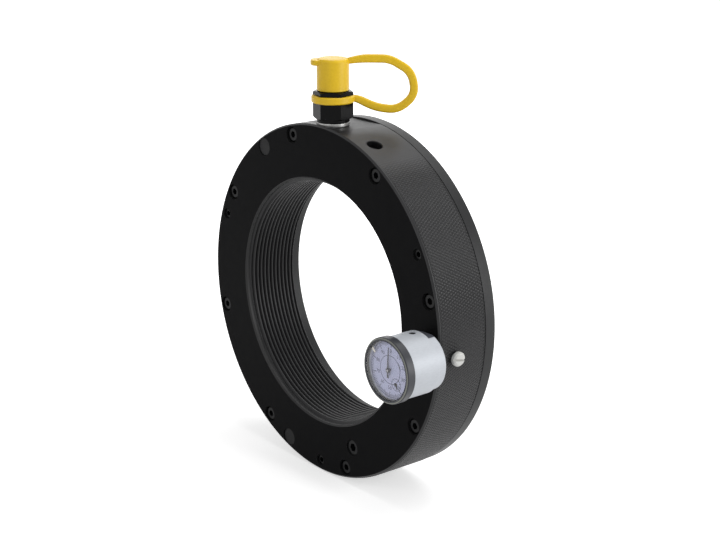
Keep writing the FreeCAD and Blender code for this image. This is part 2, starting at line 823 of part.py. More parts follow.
washer = body("bonded_washer", coupler_place)
washer_inner = size("port_radius") + "washer_lip"
washer_top = size("washer_height") - "slip_gap"
turned(washer, "washer_shape", [
    (washer_inner, "washer_lift"),
    (size("washer_radius") - "washer_edge", "washer_lift"),
    ("washer_radius", size("washer_lift") + "washer_edge"),
    ("washer_radius", washer_top - "washer_edge"),
    (size("washer_radius") - "washer_edge", washer_top),
    (washer_inner, washer_top),
], "XZ_Plane")
washer_lip = body("washer_seal", coupler_place)
turned(washer_lip, "washer_seal_shape", [
    (size("port_radius") + "slip_gap", "slip_gap"),
    (washer_inner - "slip_gap", "slip_gap"),
    (washer_inner - "slip_gap", washer_top),
    (size("port_radius") + "slip_gap", washer_top),
], "XZ_Plane")

# Check valve in the coupler
valve_fit = size("valve_bore") - "slip_gap"
retainer_high = size("retainer_low") + "retainer_thick"
retainer = body("spring_retainer", coupler_place)
turned(retainer, "retainer_shape", [
    ("retainer_hole", "retainer_low"),
    (valve_fit, "retainer_low"),
    (valve_fit, retainer_high),
    ("retainer_hole", retainer_high),
], "XZ_Plane")
poppet = body("valve_poppet", coupler_place)
poppet_base = seat_low - "poppet_length"
poppet_guide = size("valve_bore") - "loose_gap"
poppet_stem = size("valve_hole") - "loose_gap"
turned(poppet, "poppet_shape", [
    (0.0, poppet_base - "poppet_pilot"),
    ("retainer_hole", poppet_base - "poppet_pilot"),
    ("retainer_hole", poppet_base),
    (poppet_guide, poppet_base),
    (poppet_guide, seat_low - "loose_gap"),
    (poppet_stem, seat_low + "seat_slope" - "loose_gap"),
    (poppet_stem, nose_top - "poppet_sunk"),
    (0.0, nose_top - "poppet_sunk"),
], "XZ_Plane")
valve_spring_low = retainer_high + "coil_gap"
valve_spring_span = num(poppet_base - valve_spring_low - "coil_gap")
valve_spring_place = coupler_place.multiply(at_height(valve_spring_low))
valve_spring = spring_wire(num("valve_spring_mean"), num("valve_spring_wire"), num("valve_spring_turns"),
                           valve_spring_span, valve_spring_place)
group("poppet_spring", [valve_spring])

# Dust cap with a thumb tab, its strap and the ring that keeps it on the coupler
cap_place = FreeCAD.Placement(coupler_place.Base, FreeCAD.Rotation(V(0, 0, 1), -num("tether_clock")))
cap = body("dust_cap", cap_place)
cap_inner = size("nose_radius") + "cap_slip"
cap_radius = cap_inner + "cap_wall"
cap_bottom = brim_top + "seat_gap"
cap_ceiling = nose_top + "cap_room"
cap_top = cap_ceiling + "cap_roof"
turned(cap, "cap_shape", [
    (cap_inner, cap_bottom),
    (cap_radius, cap_bottom),
    (cap_radius, cap_top - "cap_shoulder"),
    (cap_radius - "cap_brow_cut", cap_top - "cap_brow"),
    (cap_radius - "cap_dome_cut", cap_top),
    (0.0, cap_top),
    (0.0, cap_ceiling),
    (cap_inner, cap_ceiling),
], "XZ_Plane")
tab_sketch = sketch(cap, "tab_outline", "XY_Plane", at_height(cap_top - "tab_drop" - "tab_height"))
tab_points = [(-size("tab_half"), -(cap_radius - "tab_root"))]
for i in range(7):
    turn = math.radians(30.0 * i)
    tab_points.append((size("tab_half") * -math.cos(turn), -(cap_radius + size("tab_rise") * math.sin(turn))))
tab_points.append(("tab_half", -(cap_radius - "tab_root")))
outline(tab_sketch, tab_points)
raised(cap, "tab", tab_sketch, "tab_height")
tether = body("tether_ring", cap_place)
ring_inner = neck_radius + "loose_gap"
ring_radius = ring_inner + "ring_wall"
ring_low = hex_top + "floor_gap"
ring_high = neck_top - "floor_gap"
turned(tether, "tether_shape", [
    (ring_inner, ring_low),
    (ring_radius - "ring_edge", ring_low),
    (ring_radius, ring_low + "ring_edge"),
    (ring_radius, ring_high - "ring_edge"),
    (ring_radius - "ring_edge", ring_high),
    (ring_inner, ring_high),
], "XZ_Plane")

# Corner points of the strap's middle line: distance from the cap's axis, then height above the flat.
# It leaves the cap nearly level, bows outwards and comes back to the ring.
strap_start = cap_top - "strap_drop"
STRAP_CORNERS = [
    (cap_radius + "seat_gap", strap_start),
    (22.7, 42.7),
    (34.6, 42.9),
    (48.6, 33.2),
    (50.9, 18.9),
    (40.0, 9.6),
    (26.3, 11.3),
    (ring_radius + "seat_gap" + "strap_tilt_gap", hex_top + "strap_lift"),
]


def rounded_path(corners):
    """Straight runs joined by tangent arcs, as large as their runs allow, with the radii and the length."""
    points = [V(num(a), num(b), 0) for a, b in corners]
    pieces = []
    radii = []
    length = 0.0
    last = points[0]
    for i in range(1, len(points) - 1):
        corner = points[i]
        into = corner - points[i - 1]
        away = points[i + 1] - corner
        run = 0.45 * min(into.Length, away.Length)
        into.normalize()
        away.normalize()
        turn = into.getAngle(away)
        radius = run / math.tan(turn / 2.0)
        start = corner - into * run
        end = corner + away * run
        inwards = away - into
        inwards.normalize()
        middle = corner + inwards * (radius / math.cos(turn / 2.0) - radius)
        pieces.append(Part.LineSegment(last, start))
        pieces.append(Part.Arc(start, middle, end))
        length += (start - last).Length + radius * turn
        radii.append(round(radius, 1))
        last = end
    pieces.append(Part.LineSegment(last, points[-1]))
    length += (points[-1] - last).Length
    return pieces, radii, length


strap = body("cap_strap", cap_place)
strap_path = sketch(strap, "strap_line", "YZ_Plane")
strap_pieces, strap_radii, strap_length = rounded_path(STRAP_CORNERS)
for piece in strap_pieces:
    strap_path.addGeometry(piece, False)
strap_reach = num(STRAP_CORNERS[0][0])
rise = math.degrees(math.atan2(num(STRAP_CORNERS[1][1]) - num(strap_start),
                               num(STRAP_CORNERS[1][0]) - strap_reach))
strap_seat = FreeCAD.Placement(V(0, num(strap_start), -strap_reach), FreeCAD.Rotation(V(1, 0, 0), rise))
strap_section = sketch(strap, "strap_section", "XZ_Plane", strap_seat)
deep = size("strap_half_deep")
wide = size("strap_half_wide")
outline(strap_section, [
    (-wide, -(deep - "strap_corner")),
    (-(wide - "strap_corner"), -deep),
    (wide - "strap_corner", -deep),
    (wide, -(deep - "strap_corner")),
    (wide, deep - "strap_corner"),
    (wide - "strap_corner", deep),
    (-(wide - "strap_corner"), deep),
    (-wide, deep - "strap_corner"),
])
strap_pipe = strap.newObject("PartDesign::AdditivePipe", "strap_pipe")
strap_pipe.Profile = strap_section
strap_pipe.Spine = strap_path
doc.recompute()
strap_area = 4.0 * num(deep) * num(wide) - 2.0 * num("strap_corner") ** 2
print("strap radii", strap_radii, "volume", round(strap.Shape.Volume, 2), "section times length",
      round(strap_area * strap_length, 2))

# Dial gauge: its own axis is level with the shaft's, and its depths run forwards from the nut's face
case_back = -size("case_stand")
case_inner = case_back - "case_floor"
case_ledge = case_inner - "case_recess"
case_step = case_back - "case_waist"
case_front = case_step - "case_length"
case_spigot = case_front - "spigot_length"
case_bore = size("case_radius") - "case_wall"
waist_radius = size("case_radius") - "waist_cut"
spigot_radius = case_bore + "spigot_wall"
stem_flange = size("stem_radius") + "stem_flange"
gauge_x, gauge_z = on_face("gauge_clock", pitch_radius)
gauge_place = FreeCAD.Placement(V(num(gauge_x), 0, num(gauge_z)), FreeCAD.Rotation())
case = body("gauge_case", gauge_place)
turned(case, "case_shape", [
    (size("stem_radius") + "slip_gap", case_back),
    (size("stem_radius") + "slip_gap", case_inner),
    (stem_flange + "loose_gap", case_inner),
    (stem_flange + "loose_gap", case_ledge),
    (case_bore, case_ledge),
    (case_bore, case_spigot),
    (spigot_radius, case_spigot),
    (spigot_radius, case_front),
    ("case_radius", case_front),
    ("case_radius", case_step),
    (waist_radius, case_step + "case_waist_run"),
    (waist_radius, case_back - "waist_edge"),
    (waist_radius - "waist_edge", case_back),
])
waist_flat_sketch = sketch(case, "waist_flat_outline", "XY_Plane", at_height(waist_radius - "waist_flat"))
outline(waist_flat_sketch, [
    (-size("waist_flat_half"), case_step + "case_waist_run"),
    ("waist_flat_half", case_step + "case_waist_run"),
    ("waist_flat_half", case_back + "cut_over"),
    (-size("waist_flat_half"), case_back + "cut_over"),
])
sunk(case, "waist_flat_cut", waist_flat_sketch, size("waist_flat") + "cut_over", True)
hole_y = case_step - "case_hole_inset"
hole_top = size("case_radius") + "cut_over"
round_pocket(case, "case_hole", "XY_Plane", at_height(hole_top), 0.0, hole_y, "case_hole_radius",
             hole_top - case_bore + "cut_over")
case_plug = body("case_plug", gauge_place)
made = sketch(case_plug, "case_plug_ring", "XY_Plane", at_height(case_bore))
ring(made, 0.0, hole_y, size("case_hole_radius") - "slip_gap")
raised(case_plug, "case_plug_shape", made, size("case_wall") - "case_plug_sunk")

stem = body("gauge_stem", gauge_place)
stem_front = case_inner - "stem_flange_thick"
plunger_way = size("plunger_radius") + "running_gap"
stem_end = size("stem_seat") - "spigot_edge"
turned(stem, "stem_shape", [
    (plunger_way, stem_front),
    (stem_flange, stem_front),
    (stem_flange, case_inner - "slip_gap"),
    ("stem_radius", case_inner - "slip_gap"),
    ("stem_radius", case_back + "slip_gap"),
    (size("stem_radius") + "stem_nut", case_back + "slip_gap"),
    (size("stem_radius") + "stem_nut", -size("stem_nut_gap")),
    ("stem_radius", -size("stem_nut_gap")),
    ("stem_radius", stem_end - "screw_edge"),
    (size("stem_radius") - "screw_edge", stem_end),
    (plunger_way, stem_end),
])

# Frame of the gauge's movement: two round plates, three pillars and two cheeks
dial_back = case_front - "dial_stand"
dial_front = dial_back - "dial_thick"
plate_front = dial_back + "spacer_depth"
plate_rear = plate_front + "plate_thick"
back_plate = case_ledge - "slip_gap" - "plate_thick"
plate_radius = case_bore - "plate_slip"
counter_reach = case_bore - "counter_margin"
counter_x, counter_z = on_face("counter_seat_clock", counter_reach)
rack_y = plate_rear + "rack_stand"
rack_z = size("plunger_radius") + "rack_pinion_radius" + "loose_gap"
pointer_eye = size("pointer_arbor_radius") + "loose_gap"
counter_eye = size("arbor_radius") + "loose_gap"
frame = body("movement_frame", gauge_place)
frame_sketch = sketch(frame, "front_plate_ring", "XZ_Plane", at_depth(plate_front))
ring(frame_sketch, 0.0, 0.0, plate_radius)
ring(frame_sketch, 0.0, 0.0, pointer_eye)
ring(frame_sketch, counter_x, counter_z, counter_eye)
raised(frame, "front_plate", frame_sketch, "plate_thick", True)
pillar_front = plate_rear - "plate_overlap"
pillar_sketch = sketch(frame, "pillar_rings", "XZ_Plane", at_depth(pillar_front))
for clock in ("pillar_clock_a", "pillar_clock_b", "pillar_clock_c"):
    spot_x, spot_z = on_face(clock, plate_radius - "pillar_inset")
    ring(pillar_sketch, spot_x, spot_z, "pillar_radius")
raised(frame, "pillars", pillar_sketch, back_plate + "plate_thick" - pillar_front, True)
back_sketch = sketch(frame, "back_plate_ring", "XZ_Plane", at_depth(back_plate))
ring(back_sketch, 0.0, 0.0, plate_radius)
ring(back_sketch, 0.0, 0.0, "plate_eye")
raised(frame, "back_plate_shape", back_sketch, "plate_thick", True)
cheek_sketch = sketch(frame, "cheek_outlines", "XZ_Plane", at_depth(pillar_front))
cheek_low = rack_z - "cheek_half"
cheek_high = rack_z + "cheek_half"
cheek_near = size("cheek_inner")
cheek_far = cheek_near + "cheek_thick"
outline(cheek_sketch, [(cheek_near, cheek_low), (cheek_far, cheek_low), (cheek_far, cheek_high),
                       (cheek_near, cheek_high)])
outline(cheek_sketch, [(-cheek_far, cheek_low), (-cheek_near, cheek_low), (-cheek_near, cheek_high),
                       (-cheek_far, cheek_high)])
raised(frame, "cheeks", cheek_sketch, back_plate + "cheek_room" - pillar_front, True)
arbor_sketch = sketch(frame, "arbor_ring", "YZ_Plane")
ring(arbor_sketch, rack_y, rack_z, size("arbor_radius") + "slip_gap")
sunk(frame, "arbor_hole", arbor_sketch, (cheek_far + "cut_over") * 2.0, False, True)

# The dial, with ways for the two pointers' arbors, on its spacer
dial = body("dial_plate", gauge_place)
dial_sketch = sketch(dial, "dial_rings", "XZ_Plane", at_depth(dial_front))
dial_radius = case_bore - "dial_slip"
ring(dial_sketch, 0.0, 0.0, dial_radius)
ring(dial_sketch, 0.0, 0.0, pointer_eye)
ring(dial_sketch, counter_x, counter_z, counter_eye)
raised(dial, "dial_disc", dial_sketch, "dial_thick", True)
spacer = body("dial_spacer", gauge_place)
spacer_outer = case_bore - "coil_gap"
turned(spacer, "spacer_shape", [
    (spacer_outer - "spacer_wall", dial_back + "coil_gap"),
    (spacer_outer, dial_back + "coil_gap"),
    (spacer_outer, plate_front - "coil_gap"),
    (spacer_outer - "spacer_wall", plate_front - "coil_gap"),
])

# The plunger feels the piston's flange through the nut's wall. A pin guides it and takes the spring's push.
plunger = body("gauge_plunger", gauge_place)
plunger_front = rack_y - "plunger_over"
tip_base = size("body_length") - "tip_length"
turned(plunger, "plunger_shape", [
    (0.0, plunger_front),
    ("plunger_radius", plunger_front),
    ("plunger_radius", tip_base - "slip_gap"),
    (0.0, tip_base - "slip_gap"),
])
guide_y = rack_y + "guide_stand"
made = sketch(plunger, "guide_ring", "YZ_Plane", at_height(-size("guide_reach")))
ring(made, guide_y, 0.0, "guide_radius")
raised(plunger, "guide_pin", made, size("guide_reach") - "guide_root")
tip = body("contact_tip", gauge_place)
tip_shoulder = size("body_length") - "tip_round"
tip_points = [(0.0, tip_base), ("tip_radius", tip_base)]
for i in range(3):
    turn = math.radians(30.0 * i)
    tip_points.append((size("tip_radius") * math.cos(turn), tip_shoulder + size("tip_round") * math.sin(turn)))
tip_points.append((0.0, "body_length"))
turned(tip, "tip_shape", tip_points)
plunger_spring_low = num(plate_rear + "slip_gap")
plunger_spring_high = num(guide_y - "guide_radius" - "slip_gap")
plunger_spring_base = V(-num("plunger_spring_reach"), plunger_spring_low, 0)
plunger_spring_turn = FreeCAD.Rotation(V(1, 0, 0), -90)
plunger_spring_place = gauge_place.multiply(FreeCAD.Placement(plunger_spring_base, plunger_spring_turn))
plunger_coil = spring_wire(num("plunger_spring_mean"), num("plunger_spring_wire"), num("plunger_spring_turns"),
                           plunger_spring_high - plunger_spring_low, plunger_spring_place)
group("plunger_spring", [plunger_coil])

# Rack arbor with its pinion and crown wheel, then the two pointers' arbors with theirs
rack_arbor = body("rack_arbor", gauge_place)
arbor_half = cheek_far + "arbor_over"
made = sketch(rack_arbor, "arbor_rod", "YZ_Plane", at_height(-arbor_half))
ring(made, rack_y, rack_z, "arbor_radius")
raised(rack_arbor, "arbor_shape", made, arbor_half * 2.0)
made = sketch(rack_arbor, "rack_pinion_ring", "YZ_Plane", at_height(-size("rack_pinion_half")))
ring(made, rack_y, rack_z, "rack_pinion_radius")
raised(rack_arbor, "rack_pinion", made, size("rack_pinion_half") * 2.0)
crown_x = size("pointer_pinion_radius") + "crown_stand"
made = sketch(rack_arbor, "crown_ring", "YZ_Plane", at_height(crown_x))
ring(made, rack_y, rack_z, back_plate - rack_y - "crown_gap")
raised(rack_arbor, "crown_wheel", made, "crown_thick")
pointer_front = dial_front - "pointer_stand"
pinion_front = plate_rear + "pinion_stand"
pointer_arbor = body("pointer_arbor", gauge_place)
turned(pointer_arbor, "pointer_arbor_shape", [
    (0.0, pointer_front - "floor_gap"),
    ("pointer_arbor_radius", pointer_front - "floor_gap"),
    ("pointer_arbor_radius", pinion_front),
    ("pointer_pinion_radius", pinion_front),
    ("pointer_pinion_radius", pinion_front + "pointer_pinion_length"),
    (0.0, pinion_front + "pointer_pinion_length"),
])
counter_front = dial_front - "counter_stand"
counter_base = V(num(counter_x), 0, num(counter_z))
counter_place = gauge_place.multiply(FreeCAD.Placement(counter_base, FreeCAD.Rotation()))
counter_wheel = counter_reach - "pointer_pinion_radius" - "coil_gap"
counter_arbor = body("counter_arbor", counter_place)
turned(counter_arbor, "counter_arbor_shape", [
    (0.0, counter_front - "coil_gap"),
    ("arbor_radius", counter_front - "coil_gap"),
    ("arbor_radius", pinion_front),
    (counter_wheel, pinion_front),
    (counter_wheel, pinion_front + "wheel_thick"),
    (0.0, pinion_front + "wheel_thick"),
])


def pointer(owner, front, word, reach, hole, clock):
    """A flat tapered pointer with a hub round its arbor. Its sizes are the sheet's words that start alike."""
    turn = FreeCAD.Placement(V(0, 0, -num(front)), FreeCAD.Rotation(V(0, 0, 1), -clock))
    root = size(word + "_root")
    end = size(word + "_tip")
    tail = size(word + "_tail")
    thick = size(word + "_thick")
    blade = sketch(owner, owner.Name + "_blade", "XZ_Plane", turn)
    outline(blade, [(-root, -tail), (root, -tail), (root, 0.0), (end, reach), (-end, reach), (-root, 0.0)])
    raised(owner, owner.Name + "_blade_shape", blade, thick, True)
    boss = sketch(owner, owner.Name + "_boss", "XZ_Plane", turn)
    ring(boss, 0.0, 0.0, word + "_hub")
    raised(owner, owner.Name + "_boss_shape", boss, thick + "coil_gap", True)
    eye = sketch(owner, owner.Name + "_eye", "XZ_Plane", turn)
    ring(eye, 0.0, 0.0, hole)
    sunk(owner, owner.Name + "_eye_cut", eye, thick + "cut_over")


main_pointer = body("main_pointer", gauge_place)
pointer(main_pointer, pointer_front, "pointer", dial_radius - "pointer_margin",
        size("pointer_arbor_radius") + "pin_gap", 0.0)
counter_pointer = body("counter_pointer", counter_place)
pointer(counter_pointer, counter_front, "counter", "counter_length", size("arbor_radius") + "pin_gap",
        num("counter_clock"))

# Turning bezel with its crystal and a tolerance marker
bezel = body("bezel_ring", gauge_place)
bezel_radius = size("case_radius") + "bezel_proud"
bezel_front = case_front - "bezel_height"
bezel_inner = case_bore + "bezel_lip"
bezel_fit = spigot_radius + "running_gap"
crystal_back = case_front - "crystal_stand"
crystal_rim = crystal_back - "crystal_brim"
turned(bezel, "bezel_shape", [
    (bezel_fit, case_front - "seat_gap"),
    (bezel_radius, case_front - "seat_gap"),
    (bezel_radius, bezel_front + "bezel_bevel"),
    (bezel_radius - "bezel_bevel_cut", bezel_front),
    (bezel_inner + "bezel_lip_cut", bezel_front),
    (bezel_inner, bezel_front + "bezel_lip_bevel"),
    (bezel_inner, crystal_rim - "slip_gap"),
    (bezel_fit, crystal_rim - "slip_gap"),
])
crystal = body("crystal", gauge_place)
crystal_radius = spigot_radius - "coil_gap"
window_radius = crystal_radius - "crystal_brim_cut"
window_edge = crystal_rim - "crystal_wall"
dome_points = []
for share in (1.0, 0.8, 0.5):
    dome_points.append((window_radius * share, window_edge - size("crystal_dome") * (1.0 - share * share)))
turned(crystal, "crystal_shape", [
    (0.0, crystal_back),
    (crystal_radius, crystal_back),
    (crystal_radius, crystal_rim),
    (window_radius, crystal_rim),
] + dome_points + [
    (0.0, window_edge - "crystal_dome"),
])
crystal_seat = body("crystal_seat", gauge_place)
seat_rear = crystal_back + "slip_gap"
seat_inner = crystal_radius - "crystal_seat_wall"
turned(crystal_seat, "crystal_seat_shape", [
    (seat_inner, seat_rear + "crystal_seat_thick"),
    (crystal_radius, seat_rear + "crystal_seat_thick"),
    (crystal_radius, seat_rear),
    (seat_inner, seat_rear),
])
marker = body("tolerance_marker", gauge_place)
marker_front = crystal_back + "marker_stand"
marker_spin = FreeCAD.Rotation(V(0, 0, 1), -num("marker_clock"))
marker_turn = FreeCAD.Placement(V(0, 0, -num(marker_front)), marker_spin)
marker_outer = seat_inner - "coil_gap"
marker_inner = marker_outer - "marker_length"
made = sketch(marker, "marker_outline", "XZ_Plane", marker_turn)
outline(made, [
    (-size("marker_half"), marker_outer),
    ("marker_half", marker_outer),
    ("marker_tip", marker_inner),
    (-size("marker_tip"), marker_inner),
])
raised(marker, "marker_shape", made, "marker_thick", True)

# Nylon clamp screw that holds the gauge's stem
clamp = body("clamp_screw", radial("gauge_clock", rim_radius, port_y))
clamp_tip = -(rim_radius - pitch_radius - "stem_radius" - "coil_gap")
clamp_head = size("clamp_radius") + "clamp_head_brim"
head_top = size("clamp_neck") + "clamp_head_height"
turned(clamp, "clamp_shape", [
    (0.0, clamp_tip),
    (size("clamp_radius") - "clamp_tip_edge", clamp_tip),
    ("clamp_radius", clamp_tip + "clamp_tip_edge"),
    ("clamp_radius", "clamp_neck"),
    (clamp_head - "clamp_head_edge", "clamp_neck"),
    (clamp_head, size("clamp_neck") + "clamp_head_edge"),
    (clamp_head, head_top - "clamp_head_round"),
    (clamp_head - "clamp_head_round", head_top),
    (0.0, head_top),
], "XZ_Plane")
slot_sketch = sketch(clamp, "clamp_slot_outline", "XY_Plane", at_height(head_top))
half_slot = size("clamp_slot") * 0.5
slot_reach = clamp_head + "cut_over"
outline(slot_sketch, [(-half_slot, -slot_reach), (half_slot, -slot_reach), (half_slot, slot_reach),
                      (-half_slot, slot_reach)])
sunk(clamp, "clamp_slot_cut", slot_sketch, "clamp_slot_depth")

# Every node moves together, so that the origin lies just inside the thread
datum_shift = FreeCAD.Placement(V(0, -num("datum_depth"), 0), FreeCAD.Rotation())
for node in NODES:
    node.Placement = datum_shift.multiply(node.Placement)

doc.recompute()
for thing in doc.Objects:
    for word in ("Invalid", "Error"):
        if word in thing.State:
            raise SystemExit("failed: %s %s" % (thing.Name, thing.State))
for node in NODES:
    shape = node.Shape
    if shape.isNull() or not shape.isValid():
        raise SystemExit("bad shape: %s" % node.Label)
for node in NODES:
    shape = node.Shape
    box = shape.BoundBox
    print("%-20s vol %10.2f solids %d" % (node.Label, shape.Volume, len(shape.Solids)),
          "x %.1f %.1f y %.1f %.1f z %.1f %.1f" % (box.XMin, box.XMax, box.YMin, box.YMax, box.ZMin, box.ZMax))
    shape.exportStep("parts/%s.step" % node.Label)
print("nodes", len(NODES))
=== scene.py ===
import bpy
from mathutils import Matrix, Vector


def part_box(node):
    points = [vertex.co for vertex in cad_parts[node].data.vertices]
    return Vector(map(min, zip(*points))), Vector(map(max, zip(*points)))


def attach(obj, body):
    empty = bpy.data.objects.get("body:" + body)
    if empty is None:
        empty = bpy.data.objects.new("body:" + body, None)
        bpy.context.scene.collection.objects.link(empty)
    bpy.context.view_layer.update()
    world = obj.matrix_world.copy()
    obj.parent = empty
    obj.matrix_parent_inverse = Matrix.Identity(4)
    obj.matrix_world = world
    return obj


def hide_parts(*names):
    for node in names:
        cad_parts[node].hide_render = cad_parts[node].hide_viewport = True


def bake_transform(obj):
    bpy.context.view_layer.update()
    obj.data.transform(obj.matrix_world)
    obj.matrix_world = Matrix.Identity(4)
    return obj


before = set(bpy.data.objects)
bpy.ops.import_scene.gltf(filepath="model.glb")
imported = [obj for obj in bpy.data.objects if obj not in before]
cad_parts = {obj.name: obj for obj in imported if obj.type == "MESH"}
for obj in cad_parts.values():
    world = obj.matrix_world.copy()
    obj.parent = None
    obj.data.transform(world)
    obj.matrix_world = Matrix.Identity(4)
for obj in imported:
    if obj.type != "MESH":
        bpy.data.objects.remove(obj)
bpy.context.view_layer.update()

import math
import bmesh
import bpy
from mathutils import Matrix, Vector

# Depths are given in millimetres from the nut's front face; the frame's origin lies 6 mm behind it.
DATUM = 6.0
MM = 0.001
FRONT = Matrix.Translation((0.0, -DATUM, 0.0))
ALONG_SHAFT = Matrix.Rotation(math.radians(-90.0), 4, "X")
GAUGE_CLOCK = 93.9
PITCH_RADIUS = 108.2
PORT_DEPTH = 12.6
FLAT_HEIGHT = 113.6
STRAP_TURN = -39.2
SIDE_CLOCK = 20.6
BLEED_CLOCK = 159.1
BLEED_REACH = 94.9
COUPLER = FRONT @ Matrix.Translation((0.0, PORT_DEPTH, FLAT_HEIGHT))
TETHER = COUPLER @ Matrix.Rotation(math.radians(STRAP_TURN), 4, "Z")


def clock_point(clock, reach, depth=0.0):
    angle = math.radians(clock)
    return Vector((reach * math.sin(angle), depth, reach * math.cos(angle)))


def radial(clock, reach, depth):
    """Frame whose Z points outwards from the shaft's axis at a clock angle."""
    return FRONT @ Matrix.Translation(clock_point(clock, reach, depth)) @ Matrix.Rotation(math.radians(clock), 4, "Y")


GAUGE_AT = clock_point(GAUGE_CLOCK, PITCH_RADIUS)
GAUGE = FRONT @ Matrix.Translation(GAUGE_AT)
COUNTER = GAUGE @ Matrix.Translation((5.198, 0.0, -7.591))


# Mesh helpers

def new_object(name, verts, faces, place=Matrix.Identity(4)):
    """A mesh object from points in millimetres, set into the frame in metres."""
    mesh = bpy.data.meshes.new(name)
    mesh.from_pydata([tuple(v) for v in verts], [], faces)
    mesh.transform(Matrix.Scale(MM, 4) @ place)
    mesh.update()
    made = bpy.data.objects.new(name, mesh)
    bpy.context.scene.collection.objects.link(made)
    tidy_mesh(made)
    return made


def tidy_mesh(made, weld=1e-7):
    work = bmesh.new()
    work.from_mesh(made.data)
    bmesh.ops.remove_doubles(work, verts=work.verts, dist=weld)
    bmesh.ops.recalc_face_normals(work, faces=work.faces)
    work.to_mesh(made.data)
    work.free()
    made.data.update()


def smooth(made, degrees=35.0, weighted=True):
    """Smooth shading with sharp edges kept, and flat faces kept flat beside small rounds."""
    mesh = made.data
    mesh.polygons.foreach_set("use_smooth", [True] * len(mesh.polygons))
    mesh.set_sharp_from_angle(angle=math.radians(degrees))
    if weighted:
        step = made.modifiers.new("weighted", "WEIGHTED_NORMAL")
        step.keep_sharp = True
        bake(made)
    return made


def bake(made):
    """Apply the object's modifiers to its mesh."""
    bpy.context.view_layer.update()
    graph = bpy.context.evaluated_depsgraph_get()
    fresh = bpy.data.meshes.new_from_object(made.evaluated_get(graph), depsgraph=graph)
    made.modifiers.clear()
    old = made.data
    made.data = fresh
    fresh.name = old.name
    bpy.data.meshes.remove(old)


def rounded(points, steps=4):
    """Profile points as (radius, height) or (radius, height, round), the rounds turned into arcs."""
    out = []
    count = len(points)
    for i, point in enumerate(points):
        size = point[2] if len(point) > 2 else 0.0
        here = Vector(point[:2])
        before = Vector(points[i - 1][:2]) - here
        after = Vector(points[(i + 1) % count][:2]) - here
        if size <= 0.0 or before.length < 1e-6 or after.length < 1e-6:
            out.append((here.x, here.y))
            continue
        u = before.normalized()
        v = after.normalized()
        half = u.angle(v) / 2.0
        reach = min(size / math.tan(half), 0.49 * min(before.length, after.length))
        size = reach * math.tan(half)
        centre = here + (u + v).normalized() * (size / math.sin(half))
        start = here + u * reach - centre
        end = here + v * reach - centre
        turn = start.angle(end)
        for k in range(steps + 1):
            t = k / steps
            spot = (start * math.sin((1.0 - t) * turn) + end * math.sin(t * turn)) / math.sin(turn)
            out.append((centre.x + spot.x, centre.y + spot.y))
    return out


def turned(name, points, place, segments=96, steps=4):
    """A turned solid round the local Z axis from a closed profile of (radius, height[, round])."""
    profile = rounded(points, steps)
    verts = []
    rows = []
    for radius, height in profile:
        if radius < 1e-6:
            verts.append((0.0, 0.0, height))
            rows.append([len(verts) - 1] * segments)
            continue
        row = []
        for k in range(segments):
            angle = 2.0 * math.pi * k / segments
            verts.append((radius * math.cos(angle), radius * math.sin(angle), height))
            row.append(len(verts) - 1)
        rows.append(row)
    faces = []
    for i in range(len(rows)):
        low = rows[i]
        high = rows[(i + 1) % len(rows)]
        if low[0] == low[1] and high[0] == high[1]:
            continue
        for k in range(segments):
            m = (k + 1) % segments
            corners = [low[k], low[m], high[m], high[k]]
            kept = [c for j, c in enumerate(corners) if c != corners[j - 1]]
            if len(kept) > 2:
                faces.append(kept)
    return new_object(name, verts, faces, place)


def prism(name, outline, low, high, place, edge=0.0, steps=3):
    """A straight prism from an outline in local X and Y, between two heights, with rounded end edges."""
    count = len(outline)
    centre = Vector((sum(p[0] for p in outline) / count, sum(p[1] for p in outline) / count))
    levels = [(low, 0.0), (high, 0.0)]
    if edge > 0.0:
        turns = [math.pi / 2.0 * k / steps for k in range(steps + 1)]
        levels = [(low + edge * (1.0 - math.cos(a)), edge * (1.0 - math.sin(a))) for a in turns]
        levels += [(high - h + low, inset) for h, inset in reversed(levels)]
    verts = []
    for height, inset in levels:
        for p in outline:
            spot = Vector(p[:2])
            away = spot - centre
            spot = spot - away.normalized() * inset
            verts.append((spot.x, spot.y, height))
    faces = [list(range(count))[::-1], [len(verts) - count + i for i in range(count)]]
    for level in range(len(levels) - 1):
        for i in range(count):
            j = (i + 1) % count
            faces.append([level * count + i, level * count + j, (level + 1) * count + j, (level + 1) * count + i])
    return new_object(name, verts, faces, place)


def hexagon(reach, turn=0.0):
    return [(reach * math.cos(math.radians(turn + 60.0 * i)), reach * math.sin(math.radians(turn + 60.0 * i)))
            for i in range(6)]


def joined(name, parts):
    """One object from several; the sources are removed."""
    work = bmesh.new()
    for part in parts:
        work.from_mesh(part.data)
    mesh = bpy.data.meshes.new(name)
    work.to_mesh(mesh)
    work.free()
    for part in parts:
        bpy.data.objects.remove(part)
    made = bpy.data.objects.new(name, mesh)
    bpy.context.scene.collection.objects.link(made)
    return made


def cut(made, cutters, operation="DIFFERENCE"):
    """Exact boolean of the object with cutters that don't touch each other."""
    tool = joined(made.name + "_tool", cutters) if len(cutters) > 1 else cutters[0]
    step = made.modifiers.new("cut", "BOOLEAN")
    step.operation = operation
    step.solver = "EXACT"
    step.object = tool
    bake(made)
    bpy.data.objects.remove(tool)
    return made


def dress(made, body, slot, mat, *nodes):
    """Give a piece its body and its material, and hide the nodes it stands for; the slot is not used."""
    made.data.materials.clear()
    made.data.materials.append(mat)
    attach(made, body)
    if nodes:
        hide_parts(*nodes)
    return made


# Materials

def linear(value):
    value = value / 255.0
    return value / 12.92 if value <= 0.04045 else ((value + 0.055) / 1.055) ** 2.4


def tone(red, green, blue):
    return (linear(red), linear(green), linear(blue), 1.0)


RING_PITCH = 0.0004


